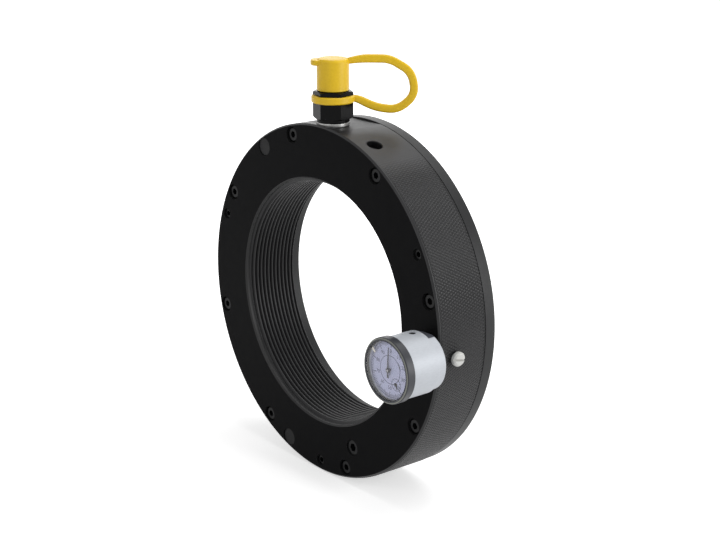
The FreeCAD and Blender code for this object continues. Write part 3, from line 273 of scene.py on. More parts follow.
def material(name, dark, light, rough=(0.4, 0.5), metallic=0.0, specular=0.5, grain=900.0, bump=0.0,
             bump_scale=2500.0, rings=0.0, stretch=(1.0, 1.0, 1.0)):
    """A procedural surface: two tones and two roughnesses mixed by noise, with grain and turning marks as bump."""
    mat = bpy.data.materials.new(name)
    mat.use_nodes = True
    nodes = mat.node_tree.nodes
    links = mat.node_tree.links
    shader = nodes["Principled BSDF"]
    shader.inputs["Metallic"].default_value = metallic
    shader.inputs["Specular IOR Level"].default_value = specular
    where = nodes.new("ShaderNodeTexCoord")
    squeeze = nodes.new("ShaderNodeMapping")
    squeeze.inputs["Scale"].default_value = stretch
    links.new(where.outputs["Object"], squeeze.inputs["Vector"])
    spots = nodes.new("ShaderNodeTexNoise")
    spots.inputs["Scale"].default_value = grain
    spots.inputs["Detail"].default_value = 4.0
    links.new(squeeze.outputs["Vector"], spots.inputs["Vector"])
    mix = nodes.new("ShaderNodeMix")
    mix.data_type = "RGBA"
    mix.inputs["A"].default_value = dark
    mix.inputs["B"].default_value = light
    links.new(spots.outputs["Fac"], mix.inputs["Factor"])
    links.new(mix.outputs["Result"], shader.inputs["Base Color"])
    broad = nodes.new("ShaderNodeTexNoise")
    broad.inputs["Scale"].default_value = grain * 0.11
    broad.inputs["Detail"].default_value = 3.0
    links.new(squeeze.outputs["Vector"], broad.inputs["Vector"])
    spread = nodes.new("ShaderNodeMapRange")
    spread.inputs["To Min"].default_value = rough[0]
    spread.inputs["To Max"].default_value = rough[1]
    links.new(broad.outputs["Fac"], spread.inputs["Value"])
    links.new(spread.outputs["Result"], shader.inputs["Roughness"])
    last = None
    if bump > 0.0:
        fine = nodes.new("ShaderNodeTexNoise")
        fine.inputs["Scale"].default_value = bump_scale
        fine.inputs["Detail"].default_value = 3.0
        links.new(squeeze.outputs["Vector"], fine.inputs["Vector"])
        lift = nodes.new("ShaderNodeBump")
        lift.inputs["Strength"].default_value = bump
        lift.inputs["Distance"].default_value = 0.00005
        links.new(fine.outputs["Fac"], lift.inputs["Height"])
        last = lift
    if rings > 0.0:
        flat = nodes.new("ShaderNodeVectorMath")
        flat.operation = "MULTIPLY"
        flat.inputs[1].default_value = (1.0, 0.0, 1.0)
        links.new(where.outputs["Object"], flat.inputs[0])
        reach = nodes.new("ShaderNodeVectorMath")
        reach.operation = "LENGTH"
        links.new(flat.outputs["Vector"], reach.inputs[0])
        marks = nodes.new("ShaderNodeTexNoise")
        marks.noise_dimensions = "1D"
        marks.inputs["Scale"].default_value = 1.0 / RING_PITCH
        marks.inputs["Detail"].default_value = 2.0
        links.new(reach.outputs["Value"], marks.inputs["W"])
        groove = nodes.new("ShaderNodeBump")
        groove.inputs["Strength"].default_value = rings
        groove.inputs["Distance"].default_value = 0.00003
        links.new(marks.outputs["Fac"], groove.inputs["Height"])
        if last is not None:
            links.new(last.outputs["Normal"], groove.inputs["Normal"])
        last = groove
    if last is not None:
        links.new(last.outputs["Normal"], shader.inputs["Normal"])
    return mat


# Painted shade: the front face gets a darker, less glossy copy of the black steel than the rim
face_black_painted_shade = material("face_black_painted_shade", tone(7, 7, 8), tone(13, 13, 14), (0.5, 0.62), 0.0, 0.03, 1500.0, 0.2, 3000.0, 0.3)
rim_black = material("rim_black", tone(22, 22, 23), tone(35, 35, 37), (0.34, 0.44), 0.15, 0.34, 1500.0, 0.3, 2600.0)
knurl_black = material("knurl_black", tone(18, 18, 19), tone(31, 31, 33), (0.3, 0.4), 0.1, 0.32, 1500.0, 0.2, 2600.0)
# Painted shade: the bore and the holes' insides get a darker copy of the black steel, standing in for shade in the
# recesses
bore_black_painted_shade = material("bore_black_painted_shade", tone(12, 12, 13), tone(20, 20, 21), (0.4, 0.52), 0.0, 0.3, 1800.0, 0.3, 2600.0)
thread_black = material("thread_black", tone(18, 18, 19), tone(32, 32, 34), (0.4, 0.5), 0.15, 0.3, 1800.0, 0.3, 2600.0)
piston_black = material("piston_black", tone(20, 20, 21), tone(33, 34, 35), (0.36, 0.48), 0.15, 0.28, 1500.0, 0.25,
                        2400.0)
screw_black = material("screw_black", tone(7, 7, 8), tone(15, 15, 17), (0.34, 0.46), 0.0, 0.14, 2500.0, 0.35, 4000.0)
plug_black = material("plug_black", tone(8, 8, 9), tone(15, 15, 17), (0.45, 0.6), 0.0, 0.15, 2500.0, 0.3, 4000.0)
nipple_black = material("nipple_black", tone(6, 6, 7), tone(13, 13, 14), (0.14, 0.22), 0.0, 0.07, 2500.0, 0.25, 4000.0)
zinc = material("zinc", tone(150, 150, 149), tone(186, 186, 184), (0.28, 0.4), 0.8, 0.5, 2500.0, 0.25, 4000.0)
steel = material("steel", tone(150, 150, 152), tone(190, 190, 192), (0.22, 0.34), 1.0, 0.5, 2500.0, 0.25, 4000.0)
spring_grey = material("spring_grey", tone(92, 92, 94), tone(128, 128, 130), (0.3, 0.42), 0.9, 0.5, 3000.0, 0.3, 5000.0)
yellow = material("yellow", tone(226, 184, 14), tone(242, 202, 34), (0.34, 0.46), 0.0, 0.4, 700.0, 0.3, 3500.0)
nylon = material("nylon", tone(200, 200, 196), tone(218, 218, 215), (0.4, 0.52), 0.0, 0.45, 900.0, 0.3, 3500.0)
case_white = material("case_white", tone(182, 186, 192), tone(200, 204, 210), (0.42, 0.54), 0.15, 0.35, 1800.0, 0.25,
                      4500.0, stretch=(1.0, 0.2, 1.0))
# Painted shade: a darker, bluish copy of the case colour for the case's top flat
case_painted_shade = material("case_painted_shade", tone(92, 94, 104), tone(116, 118, 128), (0.3, 0.42), 0.4, 0.5, 1800.0, 0.25, 4500.0)
bezel_grey = material("bezel_grey", tone(36, 38, 44), tone(52, 54, 60), (0.32, 0.44), 0.0, 0.4, 1500.0, 0.3, 4000.0)
seal_black = material("seal_black", tone(16, 16, 16), tone(30, 30, 30), (0.5, 0.65), 0.0, 0.4, 1500.0, 0.35, 3500.0)
backup_white = material("backup_white", tone(205, 200, 186), tone(225, 221, 208), (0.45, 0.6), 0.0, 0.4, 900.0, 0.2,
                        3500.0)
brass = material("brass", tone(190, 158, 84), tone(214, 184, 110), (0.26, 0.38), 0.9, 0.5, 2500.0, 0.25, 5000.0)
dial_grey = material("dial_grey", tone(140, 143, 166), tone(156, 159, 180), (0.42, 0.55), 0.0, 0.3, 1800.0, 0.15,
                     6000.0)
ink = material("ink", tone(16, 16, 34), tone(30, 30, 50), (0.5, 0.6), 0.0, 0.3, 3000.0, 0.2, 6000.0)
pointer_ink = material("pointer_ink", tone(9, 9, 16), tone(18, 18, 28), (0.4, 0.5), 0.0, 0.4, 3000.0, 0.2, 6000.0)
marker_pale = material("marker_pale", tone(176, 172, 160), tone(198, 194, 180), (0.35, 0.45), 0.0, 0.5, 3000.0, 0.2,
                       6000.0)
lip_olive = material("lip_olive", tone(104, 106, 98), tone(132, 134, 124), (0.3, 0.42), 0.3, 0.5, 2500.0, 0.2, 6000.0)


def glass_material():
    """Clear crystal: light goes straight through for shadows, so the dial stays lit."""
    mat = bpy.data.materials.new("crystal_clear")
    mat.use_nodes = True
    nodes = mat.node_tree.nodes
    links = mat.node_tree.links
    shader = nodes["Principled BSDF"]
    shader.inputs["Base Color"].default_value = (0.97, 0.97, 1.0, 1.0)
    shader.inputs["Transmission Weight"].default_value = 1.0
    shader.inputs["IOR"].default_value = 1.3
    spots = nodes.new("ShaderNodeTexNoise")
    spots.inputs["Scale"].default_value = 260.0
    spread = nodes.new("ShaderNodeMapRange")
    spread.inputs["To Min"].default_value = 0.0
    spread.inputs["To Max"].default_value = 0.05
    where = nodes.new("ShaderNodeTexCoord")
    links.new(where.outputs["Object"], spots.inputs["Vector"])
    links.new(spots.outputs["Fac"], spread.inputs["Value"])
    links.new(spread.outputs["Result"], shader.inputs["Roughness"])
    path = nodes.new("ShaderNodeLightPath")
    clear = nodes.new("ShaderNodeBsdfTransparent")
    pick = nodes.new("ShaderNodeMixShader")
    links.new(path.outputs["Is Shadow Ray"], pick.inputs["Fac"])
    links.new(shader.outputs["BSDF"], pick.inputs[1])
    links.new(clear.outputs["BSDF"], pick.inputs[2])
    links.new(pick.outputs["Shader"], nodes["Material Output"].inputs["Surface"])
    return mat


crystal_clear = glass_material()

# Nut body: ring with chamber, bore, flat and holes. The bore's thread and the rim's knurl are bands of their own.
RIM = 115.0
BODY_LENGTH = 37.1
HUB_LENGTH = 39.6
THREAD_BACK = 80.25
nut = turned("nut_shell", [
    (81.25, 0.0, 0.25),
    (RIM - 1.0, 0.0, 0.35),
    (RIM, 1.0, 0.35),
    (RIM, BODY_LENGTH, 0.3),
    (101.8, BODY_LENGTH),
    (101.0, BODY_LENGTH - 0.8),
    (101.0, 10.0),
    (86.45, 10.0),
    (86.45, HUB_LENGTH, 0.3),
    (80.6, HUB_LENGTH, 0.2),
    (THREAD_BACK, HUB_LENGTH - 0.35),
    (THREAD_BACK, 1.0),
], FRONT @ ALONG_SHAFT, 720, 2)


def bored(name, radius, depth, place, edge=0.35, inner=None, end=None):
    """Cutter for a hole whose mouth is at local height 0, with a small bevel at the mouth and perhaps a thinner way."""
    points = [(0.0, 2.0), (radius + edge, 2.0), (radius + edge, 0.0), (radius, -edge), (radius, -depth)]
    if inner:
        points += [(inner, -depth), (inner, -end)]
    points.append((0.0, points[-1][1]))
    return turned(name, points, place, 48)


def face_place(clock, reach):
    """Frame at a point of the front face whose Z points out of the face."""
    return FRONT @ Matrix.Translation(clock_point(clock, reach)) @ Matrix.Rotation(math.radians(90.0), 4, "X")


SCREW_CLOCKS = [-14.2 + 45.0 * i for i in range(8)]
SET_CLOCKS = [60.8, 179.7, -69.0]
SPARE_CLOCKS = [-31.5, -161.9]
holes = [bored("hole", 5.0, 19.0, face_place(c, PITCH_RADIUS), 0.35, 2.75, 39.0) for c in SCREW_CLOCKS]
holes += [bored("hole", 3.3, 11.0, face_place(c, PITCH_RADIUS), 0.3) for c in SET_CLOCKS]
holes += [bored("hole", 5.75, 3.0, face_place(c, PITCH_RADIUS), 0.3, 4.05, 26.0) for c in SPARE_CLOCKS]
holes.append(bored("hole", 4.05, 26.0, face_place(GAUGE_CLOCK, PITCH_RADIUS), 0.3, 3.2, 39.0))
holes.append(bored("hole", 5.0, 6.5, face_place(BLEED_CLOCK, BLEED_REACH), 0.35, 1.5, 11.0))
holes.append(bored("hole", 4.9, 9.5, radial(SIDE_CLOCK, RIM, PORT_DEPTH), 0.4, 1.5, 16.0))
flat = prism("flat", [(-26.0, 5.0), (26.0, 5.0), (26.0, 41.0), (-26.0, 41.0)], FLAT_HEIGHT, 118.0, FRONT)
cut(nut, [flat])
cut(nut, [turned("seat", [(0.0, 0.0), (10.7, 0.0), (10.7, 6.0), (0.0, 6.0)], COUPLER, 96),
          bored("clamp_way", 2.55, 6.5, radial(GAUGE_CLOCK, RIM, PORT_DEPTH), 0.3)])
holes.append(turned("port", [
    (0.0, 1.0), (6.6, 1.0), (6.6, -9.6), (1.5, -9.6), (1.5, -16.0), (0.0, -16.0),
], COUPLER, 64))
cut(nut, holes)
smooth(nut, 30.0)
dress(nut, "nut", "black_steel", rim_black, "nut_body")
nut.data.materials.append(face_black_painted_shade)
nut.data.materials.append(bore_black_painted_shade)
FRONT_Y = -DATUM * MM
# Painted shade: front-face polygons within FACE_REACH take the darker face material
FACE_DEEP, FACE_REACH = 0.0004, 0.1139
# Painted shade: polygons of the bore and of the holes' insides, within these reaches and this depth, take the darker
# bore material
BORE_REACH = 0.0822
HOLE_INNER, HOLE_OUTER, HOLE_DEEP = 0.0895, 0.1138, 0.026
for polygon in nut.data.polygons:
    middle = polygon.center
    reach = math.hypot(middle.x, middle.z)
    if middle.y < FRONT_Y + FACE_DEEP and reach < FACE_REACH:
        polygon.material_index = 1
    elif reach < BORE_REACH or (HOLE_INNER < reach < HOLE_OUTER and middle.y < FRONT_Y + HOLE_DEEP):
        polygon.material_index = 2


# Thread: helical ridges of 60 degrees with 3 mm pitch, right-handed, ended by cones at both mouths
def thread_band():
    pitch = 3.0
    crest, root = 78.4, 80.0
    form = [(0.0, crest), (0.125, crest), (0.1875, crest + 0.32), (0.25, crest + 0.64), (0.3125, crest + 0.96),
            (0.375, crest + 1.28), (0.4375, root), (0.5625, root), (0.625, crest + 1.28), (0.6875, crest + 0.96),
            (0.75, crest + 0.64), (0.8125, crest + 0.32), (0.875, crest)]
    columns = 288
    low, high = 2.7, HUB_LENGTH - 0.3
    lead_in, entry_end, entry_slope, leave_from = 1.28, 3.8, 1.85, 37.8
    per = len(form)
    turns = int((high - low) / pitch) + 4
    verts = []
    for k in range(columns):
        angle = 2.0 * math.pi * k / columns
        for m in range(turns * per):
            turn, step = divmod(m, per)
            share, radius = form[step]
            y = lead_in + pitch * (turn - 1 + share) - pitch * angle / (2.0 * math.pi)
            entry = crest + max(0.0, entry_end - y) * entry_slope
            leave = crest + max(0.0, y - leave_from)
            radius = min(max(radius, entry, leave), THREAD_BACK)
            verts.append((radius * math.cos(angle), y, radius * math.sin(angle)))
    faces = []
    rows = turns * per
    for k in range(columns):
        nxt = (k + 1) % columns
        shift = 0 if nxt else -per
        for m in range(rows - 1):
            n = m + shift
            if n < 0 or n + 1 >= rows:
                continue
            faces.append([k * rows + m, k * rows + m + 1, nxt * rows + n + 1, nxt * rows + n])
    mesh = bpy.data.meshes.new("thread_band")
    mesh.from_pydata(verts, [], faces)
    work = bmesh.new()
    work.from_mesh(mesh)
    for height, side in ((low, -1.0), (high, 1.0)):
        bmesh.ops.bisect_plane(work, geom=list(work.verts) + list(work.edges) + list(work.faces), dist=1e-5,
                               plane_co=(0.0, height, 0.0), plane_no=(0.0, side, 0.0), clear_outer=True)
    loose = [v for v in work.verts if not v.link_faces]
    bmesh.ops.delete(work, geom=loose, context="VERTS")
    open_edges = [e for e in work.edges if len(e.link_faces) == 1]
    out = bmesh.ops.extrude_edge_only(work, edges=open_edges)
    outer = [g for g in out["geom"] if isinstance(g, bmesh.types.BMVert)]
    for v in outer:
        reach = math.hypot(v.co.x, v.co.z)
        grow = (THREAD_BACK + 0.02) / reach
        v.co.x *= grow
        v.co.z *= grow
    rings = [g for g in out["geom"] if isinstance(g, bmesh.types.BMEdge) and len(g.link_faces) == 1]
    bmesh.ops.bridge_loops(work, edges=rings)
    bmesh.ops.recalc_face_normals(work, faces=work.faces)
    work.to_mesh(mesh)
    work.free()
    mesh.transform(Matrix.Scale(MM, 4) @ FRONT)
    made = bpy.data.objects.new("thread_band", mesh)
    bpy.context.scene.collection.objects.link(made)
    return made


thread = thread_band()
smooth(thread, 25.0, False)
dress(thread, "nut", "black_steel", thread_black)


# Knurl: flat-topped diamonds on the rim, left out beside the flat and the ports on top
def knurl_band():
    first, last = 27.5, 332.0
    low, high = 1.7, 36.9
    base, top = RIM + 0.02, RIM + 0.32
    across = 2.08 / RIM
    rows = 20
    fade_angle, top_share, clamp_clear = 0.2, 0.42, 4.0
    step = (high - low) / rows
    span = math.radians(last - first)
    count = int(round(span / across))
    across = span / count
    verts = []
    index = {}

    def corner(j, i):
        key = (j, i)
        if key not in index:
            index[key] = len(verts)
            clock = math.radians(first) + i * across * 0.5
            verts.append((base * math.sin(clock), low + step * j, base * math.cos(clock)))
        return index[key]

    faces = []
    clamp = clock_point(GAUGE_CLOCK, RIM, PORT_DEPTH)

    def diamond(keys):
        ring = [corner(j, i) for j, i in keys]
        spots = [Vector((keys[n][1] * across * 0.5, low + step * keys[n][0])) for n in range(len(keys))]
        centre = sum(spots, Vector((0.0, 0.0))) / len(spots)
        clock = math.radians(first) + centre.x
        middle = Vector((RIM * math.sin(clock), centre.y, RIM * math.cos(clock)))
        fade = min(1.0, (clock - math.radians(first)) / fade_angle, (math.radians(last) - clock) / fade_angle)
        raise_to = base + 0.02 + (top - base - 0.02) * max(0.0, fade)
        if (middle - clamp).length < clamp_clear:
            raise_to = base + 0.01
        inner = []
        for spot in spots:
            near = centre + (spot - centre) * top_share
            clock = math.radians(first) + near.x
            inner.append(len(verts))
            verts.append((raise_to * math.sin(clock), near.y, raise_to * math.cos(clock)))
        faces.append(inner)
        for n in range(len(ring)):
            m = (n + 1) % len(ring)
            faces.append([ring[n], ring[m], inner[m], inner[n]])

    width = 2 * count
    for j in range(rows + 1):
        for i in range(-(j % 2), width, 2):
            keys = [key for key in ((j, i), (j - 1, i + 1), (j, i + 2), (j + 1, i + 1))
                    if 0 <= key[0] <= rows and 0 <= key[1] <= width]
            if len(keys) >= 3:
                diamond(keys)
    # Closed underside, a little below the rim's surface
    under = RIM - 0.1
    floor_low, floor_high = [], []
    for i in range(0, width + 1, 2):
        clock = math.radians(first) + i * across * 0.5
        for level, store in ((low, floor_low), (high, floor_high)):
            store.append(len(verts))
            verts.append((under * math.sin(clock), level, under * math.cos(clock)))
    for n in range(count):
        faces.append([floor_low[n], floor_high[n], floor_high[n + 1], floor_low[n + 1]])
        faces.append([floor_low[n], floor_low[n + 1], corner(0, 2 * n + 2), corner(0, 2 * n)])
        faces.append([floor_high[n], corner(rows, 2 * n), corner(rows, 2 * n + 2), floor_high[n + 1]])
    faces.append([floor_low[0]] + [corner(j, 0) for j in range(0, rows + 1, 2)] + [floor_high[0]])
    faces.append([floor_high[-1]] + [corner(j, width) for j in range(rows, -1, -2)] + [floor_low[-1]])
    return new_object("knurl_band", verts, faces, FRONT)


knurl = knurl_band()
smooth(knurl, 12.0, False)
dress(knurl, "nut", "black_steel", knurl_black)

# Piston ring with its skirt, glands and flange
REAR = 46.8
FLANGE = BODY_LENGTH + 0.3
piston = turned("piston_look", [
    (87.5, 11.0, 0.2),
    (97.95, 11.0, 0.3),
    (100.95, 14.0, 0.3),
    (100.95, 16.0),
    (97.95, 16.0),
    (97.95, 22.0),
    (100.95, 22.0),
    (100.95, FLANGE),
    (RIM, FLANGE, 0.3),
    (RIM, REAR - 2.0, 0.5),
    (RIM - 2.0, REAR, 0.5),
    (82.9, REAR, 0.3),
    (82.1, REAR - 0.8, 0.3),
    (82.1, 40.0),
    (86.5, 40.0),
    (86.5, 22.0),
    (89.5, 22.0),
    (89.5, 16.0),
    (86.5, 16.0),
    (86.5, 12.0),
], FRONT @ ALONG_SHAFT, 720, 2)
tapped = []
for clock in SCREW_CLOCKS:
    spot = Matrix.Translation(clock_point(clock, PITCH_RADIUS, FLANGE))
    spot = FRONT @ spot @ Matrix.Rotation(math.radians(90.0), 4, "X")
    tapped.append(turned("hole", [(0.0, 1.0), (2.55, 1.0), (2.55, -8.4), (0.0, -8.4)], spot, 32))
cut(piston, tapped)
smooth(piston, 30.0)
dress(piston, "piston", "black_steel", piston_black, "piston_ring")


# Socket screws, set screws and plugs of the front face
def socket_screw(clock):
    place = face_place(clock, PITCH_RADIUS)
    made = turned("screw", [
        (0.0, -1.2), (4.25, -1.2, 0.5), (4.25, -6.2, 0.15), (2.5, -6.2), (2.5, -44.8), (1.9, -45.4), (0.0, -45.4),
    ], place, 64)
    cut(made, [prism("six", hexagon(2.31, 15.0 + clock), -3.8, 0.0, place)])
    return made


screws = joined("return_screw_set", [socket_screw(c) for c in SCREW_CLOCKS])
smooth(screws, 30.0)
dress(screws, "piston", "screw_steel", screw_black, "return_screws")


def set_screw(clock):
    place = face_place(clock, PITCH_RADIUS)
    made = turned("screw", [(0.0, -1.2), (3.25, -1.2, 0.4), (3.25, -9.4), (1.6, -10.8), (0.0, -10.8)], place, 48)
    cut(made, [prism("six", hexagon(1.9, 40.0 + clock), -4.2, 0.0, place)])
    return made


small = joined("set_screw_set", [set_screw(c) for c in SET_CLOCKS])
smooth(small, 30.0)
dress(small, "nut", "screw_steel", screw_black, "set_screws")

plugs = joined("spare_plug_set", [turned("plug", [
    (0.0, -0.5), (5.7, -0.5, 0.35), (5.7, -2.95), (4.0, -2.95), (4.0, -11.4), (3.4, -12.0), (0.0, -12.0),
], face_place(c, PITCH_RADIUS), 64) for c in SPARE_CLOCKS])
smooth(plugs, 30.0)
dress(plugs, "nut", "black_steel", plug_black, "spare_bore_plugs")

bleed_place = face_place(BLEED_CLOCK, BLEED_REACH)
bleed = turned("bleed_screw", [(0.0, -0.8), (4.95, -0.8, 0.45), (4.95, -6.3), (0.0, -6.3)], bleed_place, 64)
cut(bleed, [prism("six", hexagon(2.9, 10.0), -3.8, 0.0, bleed_place)])
smooth(bleed, 30.0)
dress(bleed, "nut", "screw_steel", screw_black, "bleed_plug")

side_place = radial(SIDE_CLOCK, RIM, PORT_DEPTH)
side = turned("side_plug", [(0.0, -4.3), (4.85, -4.3, 0.4), (4.85, -9.3), (0.0, -9.3)], side_place, 64)
cut(side, [prism("six", hexagon(2.9, 0.0), -7.3, -4.0, side_place)])
smooth(side, 30.0)
dress(side, "nut", "screw_steel", plug_black, "side_port_plug")

# Oil coupler: spigot, collar, hexagon, neck, thin hexagon and nose
HEX_REACH = 22.0 / math.sqrt(3.0)
HEX_TURN = 44.0
nipple = turned("nipple", [
    (4.2, -9.0), (5.75, -9.0), (6.55, -8.2), (6.55, 2.5), (10.35, 2.5, 0.3), (10.35, 5.0), (9.0, 5.0), (9.0, 14.0),
    (9.6, 14.0), (9.6, 19.6), (7.9, 19.6), (7.9, 31.0, 0.6), (6.2, 32.6, 0.6), (6.2, 38.6, 0.8), (3.6, 38.6, 0.3),
    (2.0, 36.2), (2.0, 30.2), (4.2, 28.0),
], COUPLER, 96)


def hexagon_ring(name, low, high, hole, bevel_low, bevel_high):
    """A hexagon with turned bevels at one or both ends and a hole."""
    made = prism(name, hexagon(HEX_REACH, HEX_TURN), low, high, COUPLER)
    slope = 0.58
    points = [(0.0, low - 0.5)]
    if bevel_low:
        points += [(11.0 - 0.5 / slope, low - 0.5), (13.5, low + 2.5 * slope)]
    else:
        points.append((13.5, low - 0.5))
    if bevel_high:
        points += [(13.5, high - 2.5 * slope), (11.0 - 0.5 / slope, high + 0.5)]
    else:
        points.append((13.5, high + 0.5))
    points.append((0.0, high + 0.5))
    cut(made, [turned("bevels", points, COUPLER, 96)], "INTERSECT")
    cut(made, [turned("hole", [
        (0.0, low - 1.0), (hole, low - 1.0), (hole, high + 1.0), (0.0, high + 1.0),
    ], COUPLER, 96)])
    return made


big_hex = hexagon_ring("big_hex", 4.5, 14.4, 9.0, True, False)
thin_hex = hexagon_ring("thin_hex", 19.2, 21.8, 7.9, False, True)
nipple = joined("coupler_look", [nipple, big_hex, thin_hex])
bevel = nipple.modifiers.new("edges", "BEVEL")
bevel.width = 0.0004
bevel.segments = 2
bevel.limit_method = "ANGLE"
bevel.angle_limit = math.radians(40.0)
bake(nipple)
smooth(nipple, 32.0)
dress(nipple, "nut", "black_steel", nipple_black, "coupler_nipple")

washer = turned("washer_look", [(7.4, 0.25), (10.3, 0.25, 0.35), (10.3, 2.45, 0.35), (7.4, 2.45)], COUPLER, 96)
smooth(washer)
dress(washer, "nut", "zinc_steel", zinc, "bonded_washer")

# Dust cap with its thumb tab
cap = turned("cap_look", [
    (8.4, 22.1), (10.0, 22.1, 0.35), (10.0, 40.3, 0.5), (9.4, 41.5, 0.9), (7.9, 41.9, 0.6), (0.0, 41.9), (0.0, 39.6),
    (8.4, 39.6),
], TETHER, 128, 5)


def tab_outline():
    points = [(-6.0, -6.6)]
    for k in range(13):
        a = math.radians(180.0 + 180.0 * k / 12)
        points.append((6.0 * math.cos(a), -10.0 + 3.8 * math.sin(a)))
    points.append((6.0, -6.6))
    return points


tab = prism("cap_tab", tab_outline(), 37.75, 41.05, TETHER, 0.7)
cap = joined("cap_look", [cap, tab])
smooth(cap, 50.0)
dress(cap, "cap", "yellow_plastic", yellow, "dust_cap")

tether = turned("tether_look", [
    (9.9, 14.6, 0.3), (13.0, 14.6, 0.8), (13.5, 15.3, 0.6), (13.5, 18.4, 0.6), (12.9, 19.0, 0.5), (9.9, 19.0, 0.3),
], TETHER, 128, 4)
smooth(tether, 50.0)

# Strap: a band along the corners that the CAD model has too, each a distance from the cap's axis and a height
SAG, SAG_ABOVE, SAG_FROM, SAG_SPAN = 1.3, 26.0, 9.0, 42.0
HALF_WIDTH, HALF_DEPTH = 2.0, 2.6
ROOT_THIN, ROOT_FROM, ROOT_RUN = 1.5, 8.5, 12.0
END_THIN, END_COUNT = 0.5, 8
SQUARE = 0.55
STRAP = [(10.3, 40.9), (22.7, 42.7), (34.6, 42.9), (48.6, 33.2), (50.9, 18.9), (40.0, 9.6), (26.3, 11.3), (14.9, 16.8)]


def strap_line():
    """Points along the strap's middle line, its corners rounded; the top run hangs down a little."""
    corners = [Vector(corner) for corner in STRAP]
    path = []
    for i in range(1, len(corners) - 1):
        into = corners[i] - corners[i - 1]
        away = corners[i + 1] - corners[i]
        run = 0.45 * min(into.length, away.length)
        first = corners[i] - into.normalized() * run
        last = corners[i] + away.normalized() * run
        for k in range(13):
            t = k / 12
            path.append(first * (1 - t) ** 2 + corners[i] * (2 * t * (1 - t)) + last * t ** 2)
    lead = (corners[1] - corners[0]).normalized()
    entry = [corners[0] + lead * s for s in (-1.8, -1.2, -0.6, 0.0, 0.8, 1.8, 3.0, 4.4, 5.8)]
    tail = corners[-1] - corners[-2]
    leave = [corners[-2] + tail * t for t in (0.52, 0.62, 0.72, 0.82)]
    leave += [Vector(spot) for spot in ((15.8, 16.2), (14.9, 16.5), (14.0, 16.7), (13.2, 16.8), (12.4, 16.8))]
    path = entry + path + leave
    for spot in path:
        if spot.y > SAG_ABOVE:
            share = min(1.0, max(0.0, (spot.x - SAG_FROM) / SAG_SPAN))
            spot.y -= SAG * math.sin(math.pi * share) ** 2
    return path


def strap_mesh():
    """The band, with rounded corners; it is thinner at the top of its root and at its end in the ring."""
    verts, faces = [], []
    ring = 28
    path = strap_line()
    count = len(path)
    for n, spot in enumerate(path):
        along = (path[min(n + 1, count - 1)] - path[max(n - 1, 0)]).normalized()
        near = max(0.0, 1.0 - (spot.x - ROOT_FROM) / ROOT_RUN) if n < count // 2 else 0.0
        upper = HALF_DEPTH - ROOT_THIN * near ** 1.3
        lower = HALF_DEPTH
        if n > count - END_COUNT:
            upper = lower = HALF_DEPTH - END_THIN * (n - count + END_COUNT) / 7.0
        out = Vector((0.0, -along.y, along.x))
        middle = Vector((0.0, spot.x, spot.y))
        for k in range(ring):
            a = 2.0 * math.pi * k / ring
            c, s = math.cos(a), math.sin(a)
            x = math.copysign(abs(c) ** SQUARE, c) * HALF_WIDTH
            y = math.copysign(abs(s) ** SQUARE, s) * (upper if s > 0.0 else lower)
            verts.append(middle + Vector((x, 0.0, 0.0)) + out * y)
    for n in range(count - 1):
        for k in range(ring):
            m = (k + 1) % ring
            faces.append([n * ring + k, n * ring + m, (n + 1) * ring + m, (n + 1) * ring + k])
    faces.append(list(range(ring))[::-1])
    faces.append([(count - 1) * ring + k for k in range(ring)])
    return new_object("strap_look", verts, faces, TETHER)


strap = strap_mesh()
smooth(strap, 50.0, False)
strap.data.materials.append(yellow)
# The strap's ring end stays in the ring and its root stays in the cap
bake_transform(strap)
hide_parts("cap_strap")
dress(tether, "nut", "yellow_plastic", yellow, "tether_ring")

# Dial gauge: case, bezel, crystal, dial with marks and pointers
case = turned("case_look", [
    (4.05, -3.0), (4.05, -6.0), (6.8, -6.0), (6.8, -9.6), (17.2, -9.6), (17.2, -31.4), (18.2, -31.4, 0.1),
    (18.2, -29.0), (18.9, -29.0, 0.2), (18.9, -10.0, 0.35), (17.8, -9.4, 0.3), (17.8, -4.3, 0.9), (16.5, -3.0, 0.5),
], GAUGE @ ALONG_SHAFT, 192, 3)
cut(case, [prism("case_flat", [(-12.0, -9.4), (12.0, -9.4), (12.0, -1.0), (-12.0, -1.0)], 16.2, 22.0, GAUGE)])
cut(case, [turned("case_hole", [(0.0, 17.0), (2.2, 17.0), (2.2, 22.0), (0.0, 22.0)],
                  GAUGE @ Matrix.Translation((0.0, -15.0, 0.0)), 48)])
smooth(case, 28.0)
dress(case, "nut", "case_metal", case_white, "gauge_case")
case.data.materials.append(case_painted_shade)
# Painted shade: the upward flat faces on top of the case, behind its front, take the darker case material
PAINTED_SHADE_TOP, PAINTED_SHADE_DEPTH = 17.0, 9.5
for polygon in case.data.polygons:
    middle = polygon.center * 1000.0
    if polygon.normal.z > 0.999 and middle.z - GAUGE_AT.z < PAINTED_SHADE_TOP and middle.y > -DATUM - PAINTED_SHADE_DEPTH:
        polygon.material_index = 1

bezel = turned("bezel_look", [
    (18.25, -29.3), (19.85, -29.3, 0.25), (19.85, -34.2, 0.2), (19.45, -34.8, 0.15), (18.9, -35.0, 0.2),
    (17.9, -34.75, 0.15), (17.75, -34.25), (18.25, -34.25),
], GAUGE @ ALONG_SHAFT, 192, 3)
smooth(bezel, 30.0)
dress(bezel, "bezel", "bezel_plastic", bezel_grey, "bezel_ring")
bezel.data.materials.append(lip_olive)
LIP_DEPTH, LIP_INNER, LIP_OUTER = 34.7, 0.0185, 0.0194
for polygon in bezel.data.polygons:
    middle = polygon.center
    reach = math.hypot(middle.x - GAUGE_AT.x * MM, middle.z - GAUGE_AT.z * MM)
    if middle.y < (-DATUM - LIP_DEPTH) * MM and LIP_INNER < reach < LIP_OUTER:
        polygon.material_index = 1

